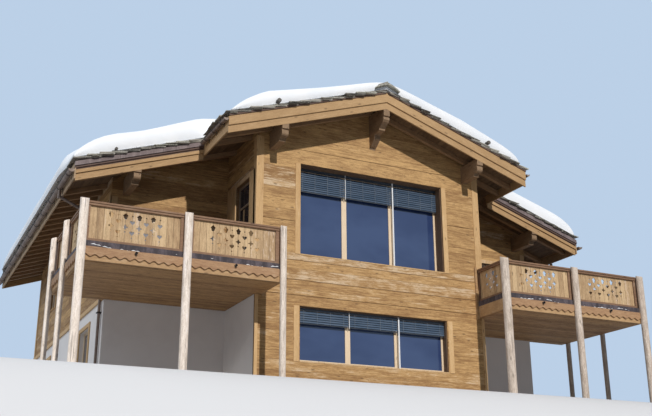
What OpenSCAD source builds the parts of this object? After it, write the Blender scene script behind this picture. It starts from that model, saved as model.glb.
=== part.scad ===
// Alpine chalet: a plastered ground floor, a timber upper floor with a gabled front bay,
// a stepped low-pitched roof with stone slates and snow, and two post-carried balconies.
// +X runs along the front, +Y goes in from the front, +Z is up, and the ground is Z = 0.

/* [Body] */
// Half the width of the main body over its outer walls
body_half = 7100; // [6900:50:7300]
// Y of the wing fronts, on either side of the bay
wing_front_y = -3100; // [-3250:25:-3000]
// Y of the rear wall's outer face
rear_y = 7700; // [7200:50:8000]
// Thickness of the timber walls of the upper floor
timber_t = 300; // [260:10:300]
// Thickness of the plastered walls of the ground floor
masonry_t = 400; // [350:10:400]
// Underside of the floor between the storeys
slab_under = 2500; // [2480:10:2505]
// Top of the upper floor and of the balcony decks
floor_z = 2830; // [2800:10:2860]
// Thickness of the ground floor slab
ground_slab_t = 150; // [120:10:200]

/* [Front bay] */
// Half the width of the bay
bay_half = 3650; // [3600:10:3700]
// Y of the bay's front face
bay_y = -5400; // [-5450:25:-5350]
// Thickness of the bay's front wall
bay_front_t = 450; // [420:10:480]
// Thickness of the boards that face the bay's ground floor
clad_t = 50; // [40:5:60]
// Half the width of the picture window's opening
window_half = 2340; // [2200:10:2360]
// Sill of the picture window
window_sill = 3700; // [3650:10:3750]
// Head of the picture window
window_head = 6360; // [6300:10:6400]
// Sill of the ground floor window band
low_sill = 750; // [700:10:900]
// Head of the ground floor window band
low_head = 2240; // [2200:10:2300]
// Depth from the facade to the front windows' frames
frame_recess = 370; // [320:10:370]

/* [Roof] */
// Slope of the roof in degrees
roof_pitch = 18.8; // [18.4:0.1:19.2]
// Height of the roof boards' top at the ridge
ridge_z = 8630; // [8550:10:8700]
// Half the width of the roof over the eaves
eave_half = 8360; // [8300:10:8400]
// Half the width of the front part of the roof, over the bay
step_half = 4860; // [4800:10:4950]
// Y of the front verge over the bay
verge_y = -6365; // [-6400:5:-6330]
// Y of the wing verges
wing_verge_y = -4340; // [-4380:5:-4300]
// Y of the rear verge
rear_verge_y = 8740; // [8700:10:8800]
// Thickness of the boarded roof, square to the slope
roof_t = 210; // [190:5:220]
// Thickness of the stone slate covering
slate_t = 140; // [120:5:150]
// Depth of the rafters
rafter_d = 140; // [120:5:150]
// Width of the rafters
rafter_w = 120; // [100:5:140]
// Distance from one rafter to the next
rafter_pitch = 618; // [600:2:660]
// Depth of the snow at the ridge, square to the slope
snow_t = 440; // [360:10:480]
// Depth of the snow low on the front part of the roof
step_snow_t = 560; // [480:10:600]
// Depth of the snow at the eaves
eave_snow_t = 720; // [600:10:760]

/* [Balconies] */
// X of the outer face of the balconies
balcony_out = 8520; // [8480:10:8540]
// X of the balconies' inner face, in front of the bay
balcony_in = 3463; // [3460:1:3470]
// Y of the balconies' front face
balcony_y = -6800; // [-6830:10:-6780]
// Underside of the balconies
balcony_under = 2440; // [2420:10:2450]
// Top of the balustrade
rail_z = 3900; // [3860:10:3950]
// Top of the posts
post_top = 3945; // [3900:5:4000]
// Radius of the half-log posts
post_r = 105; // [100:5:120]
// Length of one wave of the carved boards
wave_l = 238; // [230:2:260]

/* [Hidden] */

wood = "#b08a56";
pale_wood = "#d2a96c";
dark_wood = "#6b4e30";
grey_wood = "#b9a993";
plaster = "#d8d4cf";
stone = "#5d5a50";
copper = "#54423a";

board_t = 50;
flashing_h = 85;
flashing_out = 25;
shadow_gap_h = 145;
upper_board_h = 280;
lower_board_h = 210;
lower_board_in = 40;
wing_upper_h = 100;
wing_lower_h = 195;
wing_verge_h = flashing_h + shadow_gap_h + wing_upper_h + wing_lower_h;
fascia_h = 420;
slate_over = 80;
slate_side = 20;
snow_in = 90;
snow_over = 80;
purlin_w = 200;
mid_purlin_x = 3200;
bay_in_y = bay_y + bay_front_t;
body_in = body_half - timber_t;
wing_purlin_x = body_in - purlin_w / 2;
low_in = body_half - masonry_t;
beam_t = 80;
beam_top = floor_z - 60;
rail_w = 110;
rail_h = 100;
cap_h = 45;
bar_in = 22;
frame_in = 45;
stile_t = 57;
plank_in = 82;
rail_foot = 2930;
rail_foot_h = 60;
kerb_w = 30;
kerb_top = 2920;
stile_show = 65;
stile_w = 2 * (post_r + stile_show);
plank_t = 20;
post_xs = [8545, 5990, 3460];
side_post_ys = [-4955, -3265];
post_back = 60;
end_rail_y = wing_front_y + 100;

// Height of the roof boards' top, of their underside, and of the rafters' underside, over x
function roof_z(x) = ridge_z - tan(roof_pitch) * abs(x);
function soffit_z(x) = roof_z(x) - roof_t / cos(roof_pitch);
function rafter_z(x) = roof_z(x) - (roof_t + rafter_d) / cos(roof_pitch);
// Length along the slope from the ridge to x
function along(x) = x / cos(roof_pitch);

// A prism whose outline is given as [x, z] points, from y0 to y0 + t
module across(points, y0, t) {
    translate([0, y0 + t, 0]) rotate([90, 0, 0]) linear_extrude(t) polygon(points);
}

// A prism whose outline is given as [y, z] points, from x0 to x0 + t
module lengthwise(points, x0, t) {
    translate([x0, 0, 0]) rotate([90, 0, 90]) linear_extrude(t) polygon(points);
}

module box(low, high) {
    translate(low) cube(high - low);
}

module on_side(side) {
    mirror([side < 0 ? 1 : 0, 0, 0]) children();
}

module both() {
    children();
    mirror([1, 0, 0]) children();
}

// Ground floor

module ground_floor() {
    color("#8f8b84") union() {
        box([-low_in, wing_front_y + masonry_t, 0], [low_in, rear_y - masonry_t, ground_slab_t]);
        box([-(bay_half - masonry_t), bay_in_y, 0],
            [bay_half - masonry_t, wing_front_y + masonry_t, ground_slab_t]);
    }
}

window_w = 1200;
window_h = 1250;
side_window_ys = [-900, 5000];
upper_sill = 3780;
lower_sill = 950;
lower_window_h = 1050;
rear_window_xs = [-4600, 0, 4600];
rear_low_xs = [-4600, 4600];
door_w = 1100;
door_h = 2150;

module side_holes(sill, h) {
    for (y = side_window_ys)
        box([body_half - masonry_t - 1, y - window_w / 2, sill], [body_half + 1, y + window_w / 2, sill + h]);
}

module lower_side_wall() {
    difference() {
        box([low_in, wing_front_y + masonry_t, 0], [body_half, rear_y - masonry_t, slab_under]);
        side_holes(lower_sill, lower_window_h);
    }
}

module lower_wall_left() {
    color(plaster) on_side(-1) lower_side_wall();
}

module lower_wall_right() {
    color(plaster) lower_side_wall();
}

module lower_wall_rear() {
    color(plaster) difference() {
        box([-body_half, rear_y - masonry_t, 0], [body_half, rear_y, slab_under]);
        for (x = rear_low_xs)
            box([x - window_w / 2, rear_y - masonry_t - 1, lower_sill],
                [x + window_w / 2, rear_y + 1, lower_sill + lower_window_h]);
        box([-door_w / 2, rear_y - masonry_t - 1, ground_slab_t],
            [door_w / 2, rear_y + 1, ground_slab_t + door_h]);
    }
}

// The wing fronts, and the sides and front of the bay between them
module lower_front_walls() {
    color(plaster) difference() {
        union() {
            both() box([bay_half, wing_front_y, 0], [body_half, wing_front_y + masonry_t, slab_under]);
            both() box([bay_half - masonry_t, bay_y + clad_t, 0], [bay_half, wing_front_y + masonry_t, slab_under]);
            box([-bay_half, bay_y + clad_t, 0], [bay_half, bay_in_y, slab_under]);
        }
        box([-window_half, bay_y, low_sill], [window_half, bay_in_y + 1, low_head]);
    }
}

// Floor between the storeys

module upper_floor() {
    color(wood) union() {
        box([-body_in, wing_front_y + timber_t, slab_under], [body_in, rear_y - timber_t, floor_z]);
        box([-(bay_half - timber_t), bay_in_y, slab_under],
            [bay_half - timber_t, wing_front_y + timber_t, floor_z]);
    }
}

// Timber walls

// The timber wall of the upper floor, and the boards that carry on down over the masonry
module bay_front_wall() {
    color(wood) difference() {
        union() {
            across([
                [-bay_half, slab_under], [bay_half, slab_under], [bay_half, soffit_z(bay_half)],
                [0, soffit_z(0)], [-bay_half, soffit_z(bay_half)]
            ], bay_y, bay_front_t);
            box([-bay_half, bay_y, 0], [bay_half, bay_y + clad_t, slab_under]);
        }
        box([-window_half, bay_y - 1, window_sill], [window_half, bay_in_y + 1, window_head]);
        box([-window_half, bay_y - 1, low_sill], [window_half, bay_in_y + 1, low_head]);
        purlin_bars();
    }
}

door_y0 = bay_y + 500;
door_y1 = bay_y + 1600;
balcony_door_head = 5930;
transom_z = 5250;

module bay_side_wall() {
    difference() {
        across([
            [bay_half - timber_t, slab_under], [bay_half, slab_under],
            [bay_half, soffit_z(bay_half)], [bay_half - timber_t, soffit_z(bay_half - timber_t)]
        ], bay_in_y, wing_front_y + timber_t - bay_in_y);
        box([bay_half - timber_t - 1, door_y0, floor_z], [bay_half + 1, door_y1, balcony_door_head]);
    }
}

module bay_side_walls() {
    color(wood) both() bay_side_wall();
}

module upper_side_wall() {
    difference() {
        across([
            [body_in, slab_under], [body_half, slab_under],
            [body_half, soffit_z(body_half)], [body_in, soffit_z(body_in)]
        ], wing_front_y + timber_t, rear_y - wing_front_y - 2 * timber_t);
        side_holes(upper_sill, window_h);
    }
}

module upper_wall_left() {
    color(wood) on_side(-1) upper_side_wall();
}

module upper_wall_right() {
    color(wood) upper_side_wall();
}

module rear_gable_wall() {
    color(wood) difference() {
        across([
            [-body_half, slab_under], [body_half, slab_under], [body_half, soffit_z(body_half)],
            [0, soffit_z(0)], [-body_half, soffit_z(body_half)]
        ], rear_y - timber_t, timber_t);
        for (x = rear_window_xs)
            box([x - window_w / 2, rear_y - timber_t - 1, upper_sill],
                [x + window_w / 2, rear_y + 1, upper_sill + window_h]);
        purlin_bars();
    }
}

// Glazed doors from the wings to the balconies, as [x0, x1, z0, z1]
wing_door = [3950, 6750, floor_z, 4930];

module upper_wing_fronts() {
    color(wood) both() difference() {
        across([
            [bay_half, slab_under], [body_half, slab_under],
            [body_half, soffit_z(body_half)], [bay_half, soffit_z(bay_half)]
        ], wing_front_y, timber_t);
        box([wing_door[0], wing_front_y - 1, wing_door[2]], [wing_door[1], wing_front_y + timber_t + 1, wing_door[3]]);
        purlin_bars();
    }
}

// Roof

// A layer of one roof slope, from w0 to w1 above the boards, inside the given edges
module slope_layer(w0, w1, front, wing, rear, step, eave) {
    intersection() {
        translate([0, 0, ridge_z]) rotate([0, roof_pitch, 0]) translate([0, 0, w0])
            linear_extrude(w1 - w0) polygon([
                [-300, front], [along(step), front], [along(step), wing],
                [along(eave) + 400, wing], [along(eave) + 400, rear], [-300, rear]
            ]);
        box([0, front - 10, 0], [eave, rear + 10, 3 * ridge_z]);
    }
}

module roof_slope() {
    slope_layer(-roof_t, 0, verge_y + board_t, wing_verge_y + board_t,
        rear_verge_y - board_t, step_half - board_t, eave_half);
}

module roof_left() {
    color(dark_wood) on_side(-1) roof_slope();
}

module roof_right() {
    color(dark_wood) roof_slope();
}

module slate_slope() {
    slope_layer(0, slate_t, verge_y - slate_over, wing_verge_y - slate_over,
        rear_verge_y + slate_over, step_half + slate_side, eave_half + slate_over);
}

module slates_left() {
    color(stone) on_side(-1) slate_slope();
}

module slates_right() {
    color(stone) slate_slope();
}

// How far the snow's rounded edge stands back at a share of its depth
snow_edge = [[0, 0.4], [60, 0.6], [180, 0.8], [420, 0.95], [800, 1]];
end_stretch = 1.5;

// A snow bank on one slope, from the ridge to x1 and from y0 to y1, with rounded edges.
// It grows from snow_t at the ridge to t1 at its low end.
module snow_bank(x1, y0, y1, t1) {
    u1 = along(x1);
    intersection() {
        translate([0, 0, ridge_z]) rotate([0, roof_pitch, 0]) translate([0, 0, slate_t]) hull()
            for (e = snow_edge) {
                l = y1 - y0 - 2 * e[0];
                translate([-400, y0 + e[0], 0]) cube([100, l, e[1] * snow_t]);
                translate([u1 - end_stretch * e[0] - 10, y0 + e[0], 0]) cube([10, l, e[1] * t1]);
            }
        box([0, y0 - 10, 0], [x1 + 400, y1 + 10, 3 * ridge_z]);
    }
}

module snow_slope() {
    union() {
        snow_bank(step_half - 100, verge_y - slate_over + snow_in, wing_verge_y + 1500, step_snow_t);
        snow_bank(eave_half + snow_over, wing_verge_y - slate_over + snow_in,
            rear_verge_y + slate_over - snow_in, eave_snow_t);
    }
}

module snow_left() {
    color("white") on_side(-1) snow_slope();
}

module snow_right() {
    color("white") snow_slope();
}

// A raking board under the roof line from x0 to x1, between depths d0 and d1 below it
function raking(x0, x1, d0, d1) = [
    [x0, roof_z(x0) - d0], [x1, roof_z(x1) - d0], [x1, roof_z(x1) - d1], [x0, roof_z(x0) - d1]
];

module front_verge_boards() {
    total = upper_board_h + lower_board_h;
    color(pale_wood) union() {
        both() across(raking(0, step_half, 0, upper_board_h), verge_y, board_t);
        both() across(raking(0, step_half, upper_board_h, total), verge_y + lower_board_in, board_t);
    }
}

// A band under the slates, and a strip set back below it
module verge_flashings() {
    d0 = flashing_h + shadow_gap_h;
    color(copper) both() union() {
        across(raking(step_half, eave_half, 0, flashing_h), wing_verge_y - flashing_out, board_t + flashing_out);
        across(raking(step_half, eave_half, flashing_h, d0), wing_verge_y + board_t - 20, 20);
    }
}

// The boards of the wing verges, and those along the roof's step
module wing_verge_boards() {
    d0 = flashing_h + shadow_gap_h;
    d1 = d0 + wing_upper_h;
    top = roof_z(step_half);
    front = verge_y + board_t;
    back = wing_verge_y + board_t;
    shoulder = top - upper_board_h + 20;
    color(pale_wood) both() union() {
        across(raking(step_half, eave_half, d0, d1), wing_verge_y, board_t);
        across(raking(step_half, eave_half, d1, wing_verge_h), wing_verge_y + lower_board_in, board_t);
        lengthwise([
            [front, top], [back, top], [back, top - fascia_h], [front + lower_board_in, top - fascia_h],
            [front + lower_board_in, shoulder], [front, shoulder]
        ], step_half - board_t, board_t);
    }
}

module rear_verge_boards() {
    total = upper_board_h + lower_board_h;
    color(pale_wood) union() {
        both() across(raking(0, eave_half, 0, upper_board_h), rear_verge_y - board_t, board_t);
        both() across(raking(0, eave_half, upper_board_h, total), rear_verge_y - board_t - lower_board_in, board_t);
    }
}

eave_board_low = 5300;

module eave_boards() {
    color(pale_wood) both()
        box([eave_half, wing_verge_y, eave_board_low], [eave_half + 40, rear_verge_y, roof_z(eave_half) - 20]);
}

// Purlins

function lobe(y, z, r, a0, a1) = [for (a = [a0:15:a1]) [y + r * cos(a), z + r * sin(a)]];
function purlin_top(x) = rafter_z(abs(x) + purlin_w / 2);
function purlin_h(x) = x == 0 ? 600 : abs(x) == mid_purlin_x ? 515 : 465;
function purlin_foot(x) = purlin_top(x) - purlin_h(x);
front_end = verge_y + lower_board_in;
wing_end = wing_verge_y + lower_board_in;
rear_end = rear_verge_y - board_t - 35;

// Outline of a purlin's head seen from the side, with its front at y and its underside at z:
// a plain block, a groove, a rounded lobe and two narrow lips
function head_side(y, z) = concat(
    [[y, z + 300], [y + 45, z + 296], [y + 45, z + 266], [y + 25, z + 260]],
    lobe(y + 120, z + 185, 95, 180, 270),
    [[y + 206, z + 86], [y + 208, z + 50], [y + 235, z + 46], [y + 235, z + 38], [y + 226, z + 34], [y + 230, z]]
);

// The same for the ridge purlin's head and the bracket that carries it, whose underside is a cove
function ridge_head_side(y, z) = concat(
    [[y, z + 300], [y + 45, z + 296], [y + 45, z + 268], [y + 28, z + 264], [y + 28, z + 190]],
    [[y + 80, z + 131], [y + 190, z + 73], [y + 300, z + 10], [y + 300, z - 42], [y + 335, z - 55]],
    [[y + 570, z - 80], [y + 590, z - 90], [y + 590, z - 195], [y + 615, z - 223]],
    lobe(y + 690, z - 373, 150, 90, 0),
    [[y + 840, z - 375], [y + 895, z - 377], [y + 905, z - 445], [bay_y, z - 445], [bay_y, z]]
);

// Outline of a whole purlin's side, whose rear end is cut back under a slope
function purlin_side(head, x) = concat(
    head,
    [[rear_end - 360, purlin_foot(x)], [rear_end, purlin_top(x) - 200], [rear_end, purlin_top(x)]],
    [[head[0][0], purlin_top(x)]]
);

module purlin(x, head) {
    lengthwise(purlin_side(head, x), x - purlin_w / 2, purlin_w);
}

// The purlins' heads reach under the verge boards, and are cut back behind them
module behind_boards() {
    both() across(raking(0, step_half, -50, upper_board_h + lower_board_h),
        verge_y - 20, board_t + lower_board_in + 20);
    both() across(raking(step_half, eave_half, -50, wing_verge_h),
        wing_verge_y - 20, board_t + lower_board_in + 20);
}

module all_purlins() {
    difference() {
        union() {
            purlin(0, ridge_head_side(front_end, purlin_foot(0)));
            both() purlin(mid_purlin_x, head_side(front_end, purlin_foot(mid_purlin_x)));
            both() purlin(wing_purlin_x, head_side(wing_end, purlin_foot(wing_purlin_x)));
        }
        behind_boards();
    }
}

// Straight bars as wide and deep as the purlins, which leave the walls' pockets
module purlin_bars() {
    l = rear_y - bay_y + 200;
    for (x = [-wing_purlin_x, -mid_purlin_x, 0, mid_purlin_x, wing_purlin_x])
        translate([x - purlin_w / 2, bay_y - 100, purlin_foot(x)])
            cube([purlin_w, l, purlin_h(x)]);
}

module purlins() {
    color(wood) all_purlins();
}

// Rafters show only where the roof stands over the walls
function rafter_from(y) =
    y < bay_y ? 0 : y < wing_front_y ? bay_half : y < rear_y ? body_half : 0;
function rafter_to(y) = y < wing_verge_y ? step_half - board_t : eave_half;

module rafter(y) {
    x0 = rafter_from(y);
    x1 = rafter_to(y);
    across([[x0, soffit_z(x0)], [x1, soffit_z(x1)], [x1, rafter_z(x1)], [x0, rafter_z(x0)]], y, rafter_w);
}

first_rafter = -6255;
rafter_count = floor((rear_end - rafter_w - first_rafter) / rafter_pitch);
function rafter_clear(y) =
    (y + rafter_w <= bay_y || y >= bay_y)
    && (y + rafter_w <= wing_verge_y || y >= wing_verge_y + board_t + lower_board_in)
    && (y + rafter_w <= wing_front_y || y >= wing_front_y)
    && (y + rafter_w <= rear_y || y >= rear_y);

module rafter_set() {
    for (i = [0:rafter_count]) {
        y = first_rafter + i * rafter_pitch;
        if (rafter_clear(y)) rafter(y);
    }
}

module rafters_left() {
    color(dark_wood) on_side(-1) rafter_set();
}

module rafters_right() {
    color(dark_wood) rafter_set();
}

// Rainwater goods and snow guards

gutter_r = 80;
gutter_x = eave_half + 40 + gutter_r + 10;
gutter_z = 5530;
gutter_t = 8;
pipe_r = 40;
step_gutter_r = 65;
step_gutter_x = step_half + 15 + step_gutter_r;
step_gutter_z = roof_z(step_half) - 90;
bracket_w = 30;

// A half-round gutter with closed ends, whose rim is at height z over x, from y0 to y1
module trough(x, z, r, y0, y1) {
    l = y1 - y0;
    translate([x, y1, z]) rotate([90, 0, 0]) difference() {
        cylinder(r = r, h = l, $fn = 48);
        translate([0, 0, gutter_t]) cylinder(r = r - gutter_t, h = l - 2 * gutter_t, $fn = 48);
        translate([-2 * r, 0, -1]) cube([4 * r, 2 * r, l + 2]);
    }
}

// The gutter along the roof's step, which brackets hold on the board behind it
module step_gutter() {
    y0 = verge_y - 10;
    y1 = wing_verge_y - slate_over - 45;
    union() {
        trough(step_gutter_x, step_gutter_z, step_gutter_r, y0, y1);
        for (y = [y0 + 250, y1 - 250 - bracket_w])
            box([step_half, y, step_gutter_z - 16],
                [step_gutter_x - step_gutter_r + gutter_t, y + bracket_w, step_gutter_z - 4]);
    }
}

module gutters() {
    color(copper) both() {
        trough(gutter_x, gutter_z, gutter_r, wing_verge_y - slate_over, rear_verge_y + slate_over);
        step_gutter();
    }
}

// A round pipe from one point to the next
module pipe(a, b, r) {
    d = b - a;
    l = norm(d);
    translate(a) rotate([0, acos(d[2] / l), atan2(d[1], d[0])]) cylinder(r = r, h = l, $fn = 24);
}

pipe_y = wing_front_y + 250;
pipe_top = [gutter_x, pipe_y, gutter_z - gutter_r];
pipe_bend = [gutter_x, pipe_y, gutter_z - 260];
pipe_wall = [body_half + pipe_r + 20, pipe_y, 4650];
pipe_foot = [body_half + pipe_r + 20, pipe_y, 0];

module downpipe() {
    union() {
        pipe(pipe_bend, pipe_top, pipe_r);
        pipe(pipe_wall, pipe_bend, pipe_r);
        pipe(pipe_foot, pipe_wall, pipe_r);
        for (p = [pipe_bend, pipe_wall])
            translate([p[0], p[1], p[2] - 60]) cylinder(r = pipe_r + 8, h = 120, $fn = 24);
    }
}

module downpipes() {
    color(copper) both() downpipe();
}

// A log of radius r lying along the slates at x, from y0 to y1, with a flat underside on them
module guard_log(x, r, y0, y1) {
    translate([0, 0, ridge_z]) rotate([0, roof_pitch, 0]) translate([along(x), y1, slate_t + r - 8])
        rotate([90, 0, 0]) intersection() {
            cylinder(r = r, h = y1 - y0, $fn = 24);
            translate([-r, -r + 8, -1]) cube([2 * r, 2 * r, y1 - y0 + 2]);
        }
}

module snow_guard_logs() {
    color(wood) both() {
        guard_log(3400, 60, verge_y - 130, verge_y - slate_over + snow_in);
        guard_log(7290, 42, wing_verge_y - 70, wing_verge_y - slate_over + snow_in);
    }
}

// Front windows

frame_y = bay_y + frame_recess;
low_frame_y = frame_y - 140;
frame_t = 80;
frame_w = 75;
mullion_w = 160;

// A window frame in an opening [x0, x1, z0, z1] with upright bars at the given places
module frame(o, y, t, w, bars, bar_w) {
    difference() {
        box([o[0], y, o[2]], [o[1], y + t, o[3]]);
        xs = concat([o[0] + w - bar_w / 2], bars, [o[1] - w + bar_w / 2]);
        for (i = [0:len(xs) - 2])
            box([xs[i] + bar_w / 2, y - 1, o[2] + w], [xs[i + 1] - bar_w / 2, y + t + 1, o[3] - w]);
    }
}

// Panes that fill a frame's lights, each in the middle of its depth
module panes(o, y, t, w, bars, bar_w) {
    xs = concat([o[0] + w - bar_w / 2], bars, [o[1] - w + bar_w / 2]);
    for (i = [0:len(xs) - 2])
        box([xs[i] + bar_w / 2, y + t / 2 - 14, o[2] + w], [xs[i + 1] - bar_w / 2, y + t / 2 + 14, o[3] - w]);
}

upper_window = [-window_half, window_half, window_sill, window_head];
lower_window = [-window_half, window_half, low_sill, low_head];
front_bars = [-window_half / 3, window_half / 3];

module front_window_frames() {
    color(pale_wood) {
        frame(upper_window, frame_y, frame_t, frame_w, front_bars, mullion_w);
        frame(lower_window, low_frame_y, frame_t, frame_w, front_bars, mullion_w);
    }
}

module front_glass() {
    color("#46587c") {
        panes(upper_window, frame_y, frame_t, frame_w, front_bars, mullion_w);
        panes(lower_window, low_frame_y, frame_t, frame_w, front_bars, mullion_w);
    }
}

blind_in = 110;
blind_t = 60;
upper_blind_z = 5630;
lower_blind_z = 1790;

// Outside blinds at y: three side by side, let down to z, under the head of the opening
module blind_row(o, y, z) {
    gap = 24;
    w = (o[1] - o[0]) / 3;
    for (i = [0:2])
        box([o[0] + i * w + gap / 2, y, z], [o[0] + (i + 1) * w - gap / 2, y + blind_t, o[3]]);
}

module front_blinds() {
    color("#4c6076") {
        blind_row(upper_window, frame_y - blind_in, upper_blind_z);
        blind_row(lower_window, low_frame_y - blind_in, lower_blind_z);
    }
}

casing_w = 155;
casing_t = 30;
corner_w = 185;

module facade_trim() {
    color(pale_wood) both() {
        box([window_half, bay_y - casing_t, window_sill - 20], [window_half + casing_w, bay_y, window_head]);
        box([window_half + 30, bay_y - casing_t, low_sill - 20], [window_half + 30 + casing_w, bay_y, low_head]);
        union() {
            across([
                [bay_half - corner_w, floor_z], [bay_half, floor_z],
                [bay_half, rafter_z(bay_half) - 20], [bay_half - corner_w, rafter_z(bay_half) - 20]
            ], bay_y - casing_t, casing_t);
            box([bay_half, bay_y - casing_t, floor_z],
                [bay_half + casing_t, bay_y + corner_w, rafter_z(bay_half + casing_t) - 20]);
        }
        box([bay_half - 90, bay_y - casing_t, 0], [bay_half, bay_y, balcony_under]);
    }
}

// Glazed doors from the bay to the balconies

module door_frame_x(x, t, y0, y1, z0, z1, bar) {
    w = 80;
    difference() {
        box([x, y0, z0], [x + t, y1, z1]);
        box([x - 1, y0 + w, z0 + w], [x + t + 1, y1 - w, bar - 30]);
        box([x - 1, y0 + w, bar + 30], [x + t + 1, y1 - w, z1 - w]);
    }
}

door_x = bay_half - 170;
door_t = 80;

module balcony_door_frames() {
    color(pale_wood) both()
        door_frame_x(door_x, door_t, door_y0, door_y1, floor_z, balcony_door_head, transom_z);
}

module balcony_door_glass() {
    color("#46587c") both() {
        box([door_x + 26, door_y0 + 80, floor_z + 80], [door_x + 54, door_y1 - 80, transom_z - 30]);
        box([door_x + 26, door_y0 + 80, transom_z + 30], [door_x + 54, door_y1 - 80, balcony_door_head - 80]);
    }
}

// Windows of the sides and the rear

module side_frame(y, sill, h) {
    w = 70;
    x = body_half - 190;
    difference() {
        box([x, y - window_w / 2, sill], [x + 80, y + window_w / 2, sill + h]);
        for (s = [0, 1])
            box([x - 1, y + (s ? 35 : w - window_w / 2), sill + w],
                [x + 81, y + (s ? window_w / 2 - w : -35), sill + h - w]);
    }
}

module side_panes(y, sill, h) {
    w = 70;
    x = body_half - 190;
    for (s = [0, 1])
        box([x + 26, y + (s ? 35 : w - window_w / 2), sill + w],
            [x + 54, y + (s ? window_w / 2 - w : -35), sill + h - w]);
}

rear_frame_y = rear_y - 190;
wing_frame_y = wing_front_y + 110;
wing_bars = [wing_door[0] + 950, wing_door[1] - 950];
function rear_opening(x, sill, h) = [x - window_w / 2, x + window_w / 2, sill, sill + h];

module window_frames() {
    color(pale_wood) {
        both() for (y = side_window_ys) {
            side_frame(y, upper_sill, window_h);
            side_frame(y, lower_sill, lower_window_h);
        }
        for (x = rear_window_xs)
            frame(rear_opening(x, upper_sill, window_h), rear_frame_y, 80, 70, [x], 70);
        for (x = rear_low_xs)
            frame(rear_opening(x, lower_sill, lower_window_h), rear_frame_y, 80, 70, [x], 70);
        both() frame(wing_door, wing_frame_y, 80, 80, wing_bars, 80);
    }
}

module window_glass() {
    color("#46587c") {
        both() for (y = side_window_ys) {
            side_panes(y, upper_sill, window_h);
            side_panes(y, lower_sill, lower_window_h);
        }
        for (x = rear_window_xs)
            panes(rear_opening(x, upper_sill, window_h), rear_frame_y, 80, 70, [x], 70);
        for (x = rear_low_xs)
            panes(rear_opening(x, lower_sill, lower_window_h), rear_frame_y, 80, 70, [x], 70);
        both() panes(wing_door, wing_frame_y, 80, 80, wing_bars, 80);
    }
}

module rear_door() {
    color(wood) box([-door_w / 2, rear_frame_y, ground_slab_t], [door_w / 2, rear_frame_y + 80, ground_slab_t + door_h]);
}

// Balconies

inner_end = bay_y - casing_t;

// The joisted floor inside the edge beams
module balcony_floor() {
    linear_extrude(beam_top - balcony_under) polygon([
        [balcony_in + beam_t, balcony_y + beam_t], [balcony_out - beam_t, balcony_y + beam_t],
        [balcony_out - beam_t, end_rail_y - beam_t], [body_half, end_rail_y - beam_t],
        [body_half, wing_front_y], [bay_half, wing_front_y],
        [bay_half, bay_y], [balcony_in + beam_t, bay_y]
    ]);
}

module balcony_floors() {
    color(wood) both() translate([0, 0, balcony_under]) balcony_floor();
}

// The covering of the balconies, with a kerb along their free edges
module balcony_decks() {
    color("#4a4a50") both() union() {
        translate([0, 0, beam_top]) linear_extrude(floor_z - beam_top) polygon([
            [balcony_in, balcony_y], [balcony_out, balcony_y], [balcony_out, end_rail_y],
            [body_half, end_rail_y], [body_half, wing_front_y], [bay_half, wing_front_y],
            [bay_half, bay_y], [balcony_in, bay_y]
        ]);
        box([balcony_in, balcony_y, beam_top], [balcony_out, balcony_y + kerb_w, kerb_top]);
        box([balcony_out - kerb_w, balcony_y, beam_top], [balcony_out, end_rail_y, kerb_top]);
        box([balcony_in, balcony_y, beam_top], [balcony_in + kerb_w, inner_end, kerb_top]);
        box([body_half, end_rail_y - kerb_w, beam_top], [balcony_out, end_rail_y, kerb_top]);
    }
}

module balcony_beams() {
    color(wood) both() union() {
        box([balcony_in, balcony_y, balcony_under], [balcony_out, balcony_y + beam_t, beam_top]);
        box([balcony_out - beam_t, balcony_y, balcony_under], [balcony_out, end_rail_y, beam_top]);
        box([balcony_in, balcony_y, balcony_under], [balcony_in + beam_t, bay_y, beam_top]);
        box([body_half, end_rail_y - beam_t, balcony_under], [balcony_out, end_rail_y, beam_top]);
    }
}

wave_t = 25;
wave_top = beam_top;
wave_mid = 2558;
wave_a = 28;

// A board l long whose lower edge is cut in waves
module wave_board(l) {
    n = max(1, round(l / wave_l));
    linear_extrude(wave_t) polygon(concat(
        [[l, wave_top], [0, wave_top]],
        [for (i = [0:6 * n]) [i * l / (6 * n), wave_mid + wave_a * cos(i * 60)]]
    ));
}

// One stretch of carved board between posts, from x0 to x1
module front_wave(x0, x1) {
    translate([x0, balcony_y, 0]) rotate([90, 0, 0]) wave_board(x1 - x0);
}

module side_wave(y0, y1) {
    translate([balcony_out, y0, 0]) rotate([90, 0, 90]) wave_board(y1 - y0);
}

module wave_boards() {
    gap = post_r + 2;
    color(wood) both() {
        front_wave(post_xs[2] + gap, post_xs[1] - gap);
        front_wave(post_xs[1] + gap, post_xs[0] - gap);
        side_wave(balcony_y, side_post_ys[0] - gap);
        side_wave(side_post_ys[0] + gap, side_post_ys[1] - gap);
    }
}

// A half-log with its flat side at y = 0
module half_log() {
    intersection() {
        translate([0, -post_back, 0]) cylinder(r = post_r, h = post_top, $fn = 48);
        box([-post_r, -post_back - post_r, 0], [post_r, 0, post_top]);
    }
}

module balcony_posts() {
    color(grey_wood) both() {
        for (x = post_xs) translate([x, balcony_y, 0]) half_log();
        for (y = side_post_ys) translate([balcony_out, y, 0]) rotate([0, 0, 90]) half_log();
        box([balcony_in - 72, bay_y - 62, balcony_under - 50], [balcony_in, bay_y, rail_z + 65]);
    }
}

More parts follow.
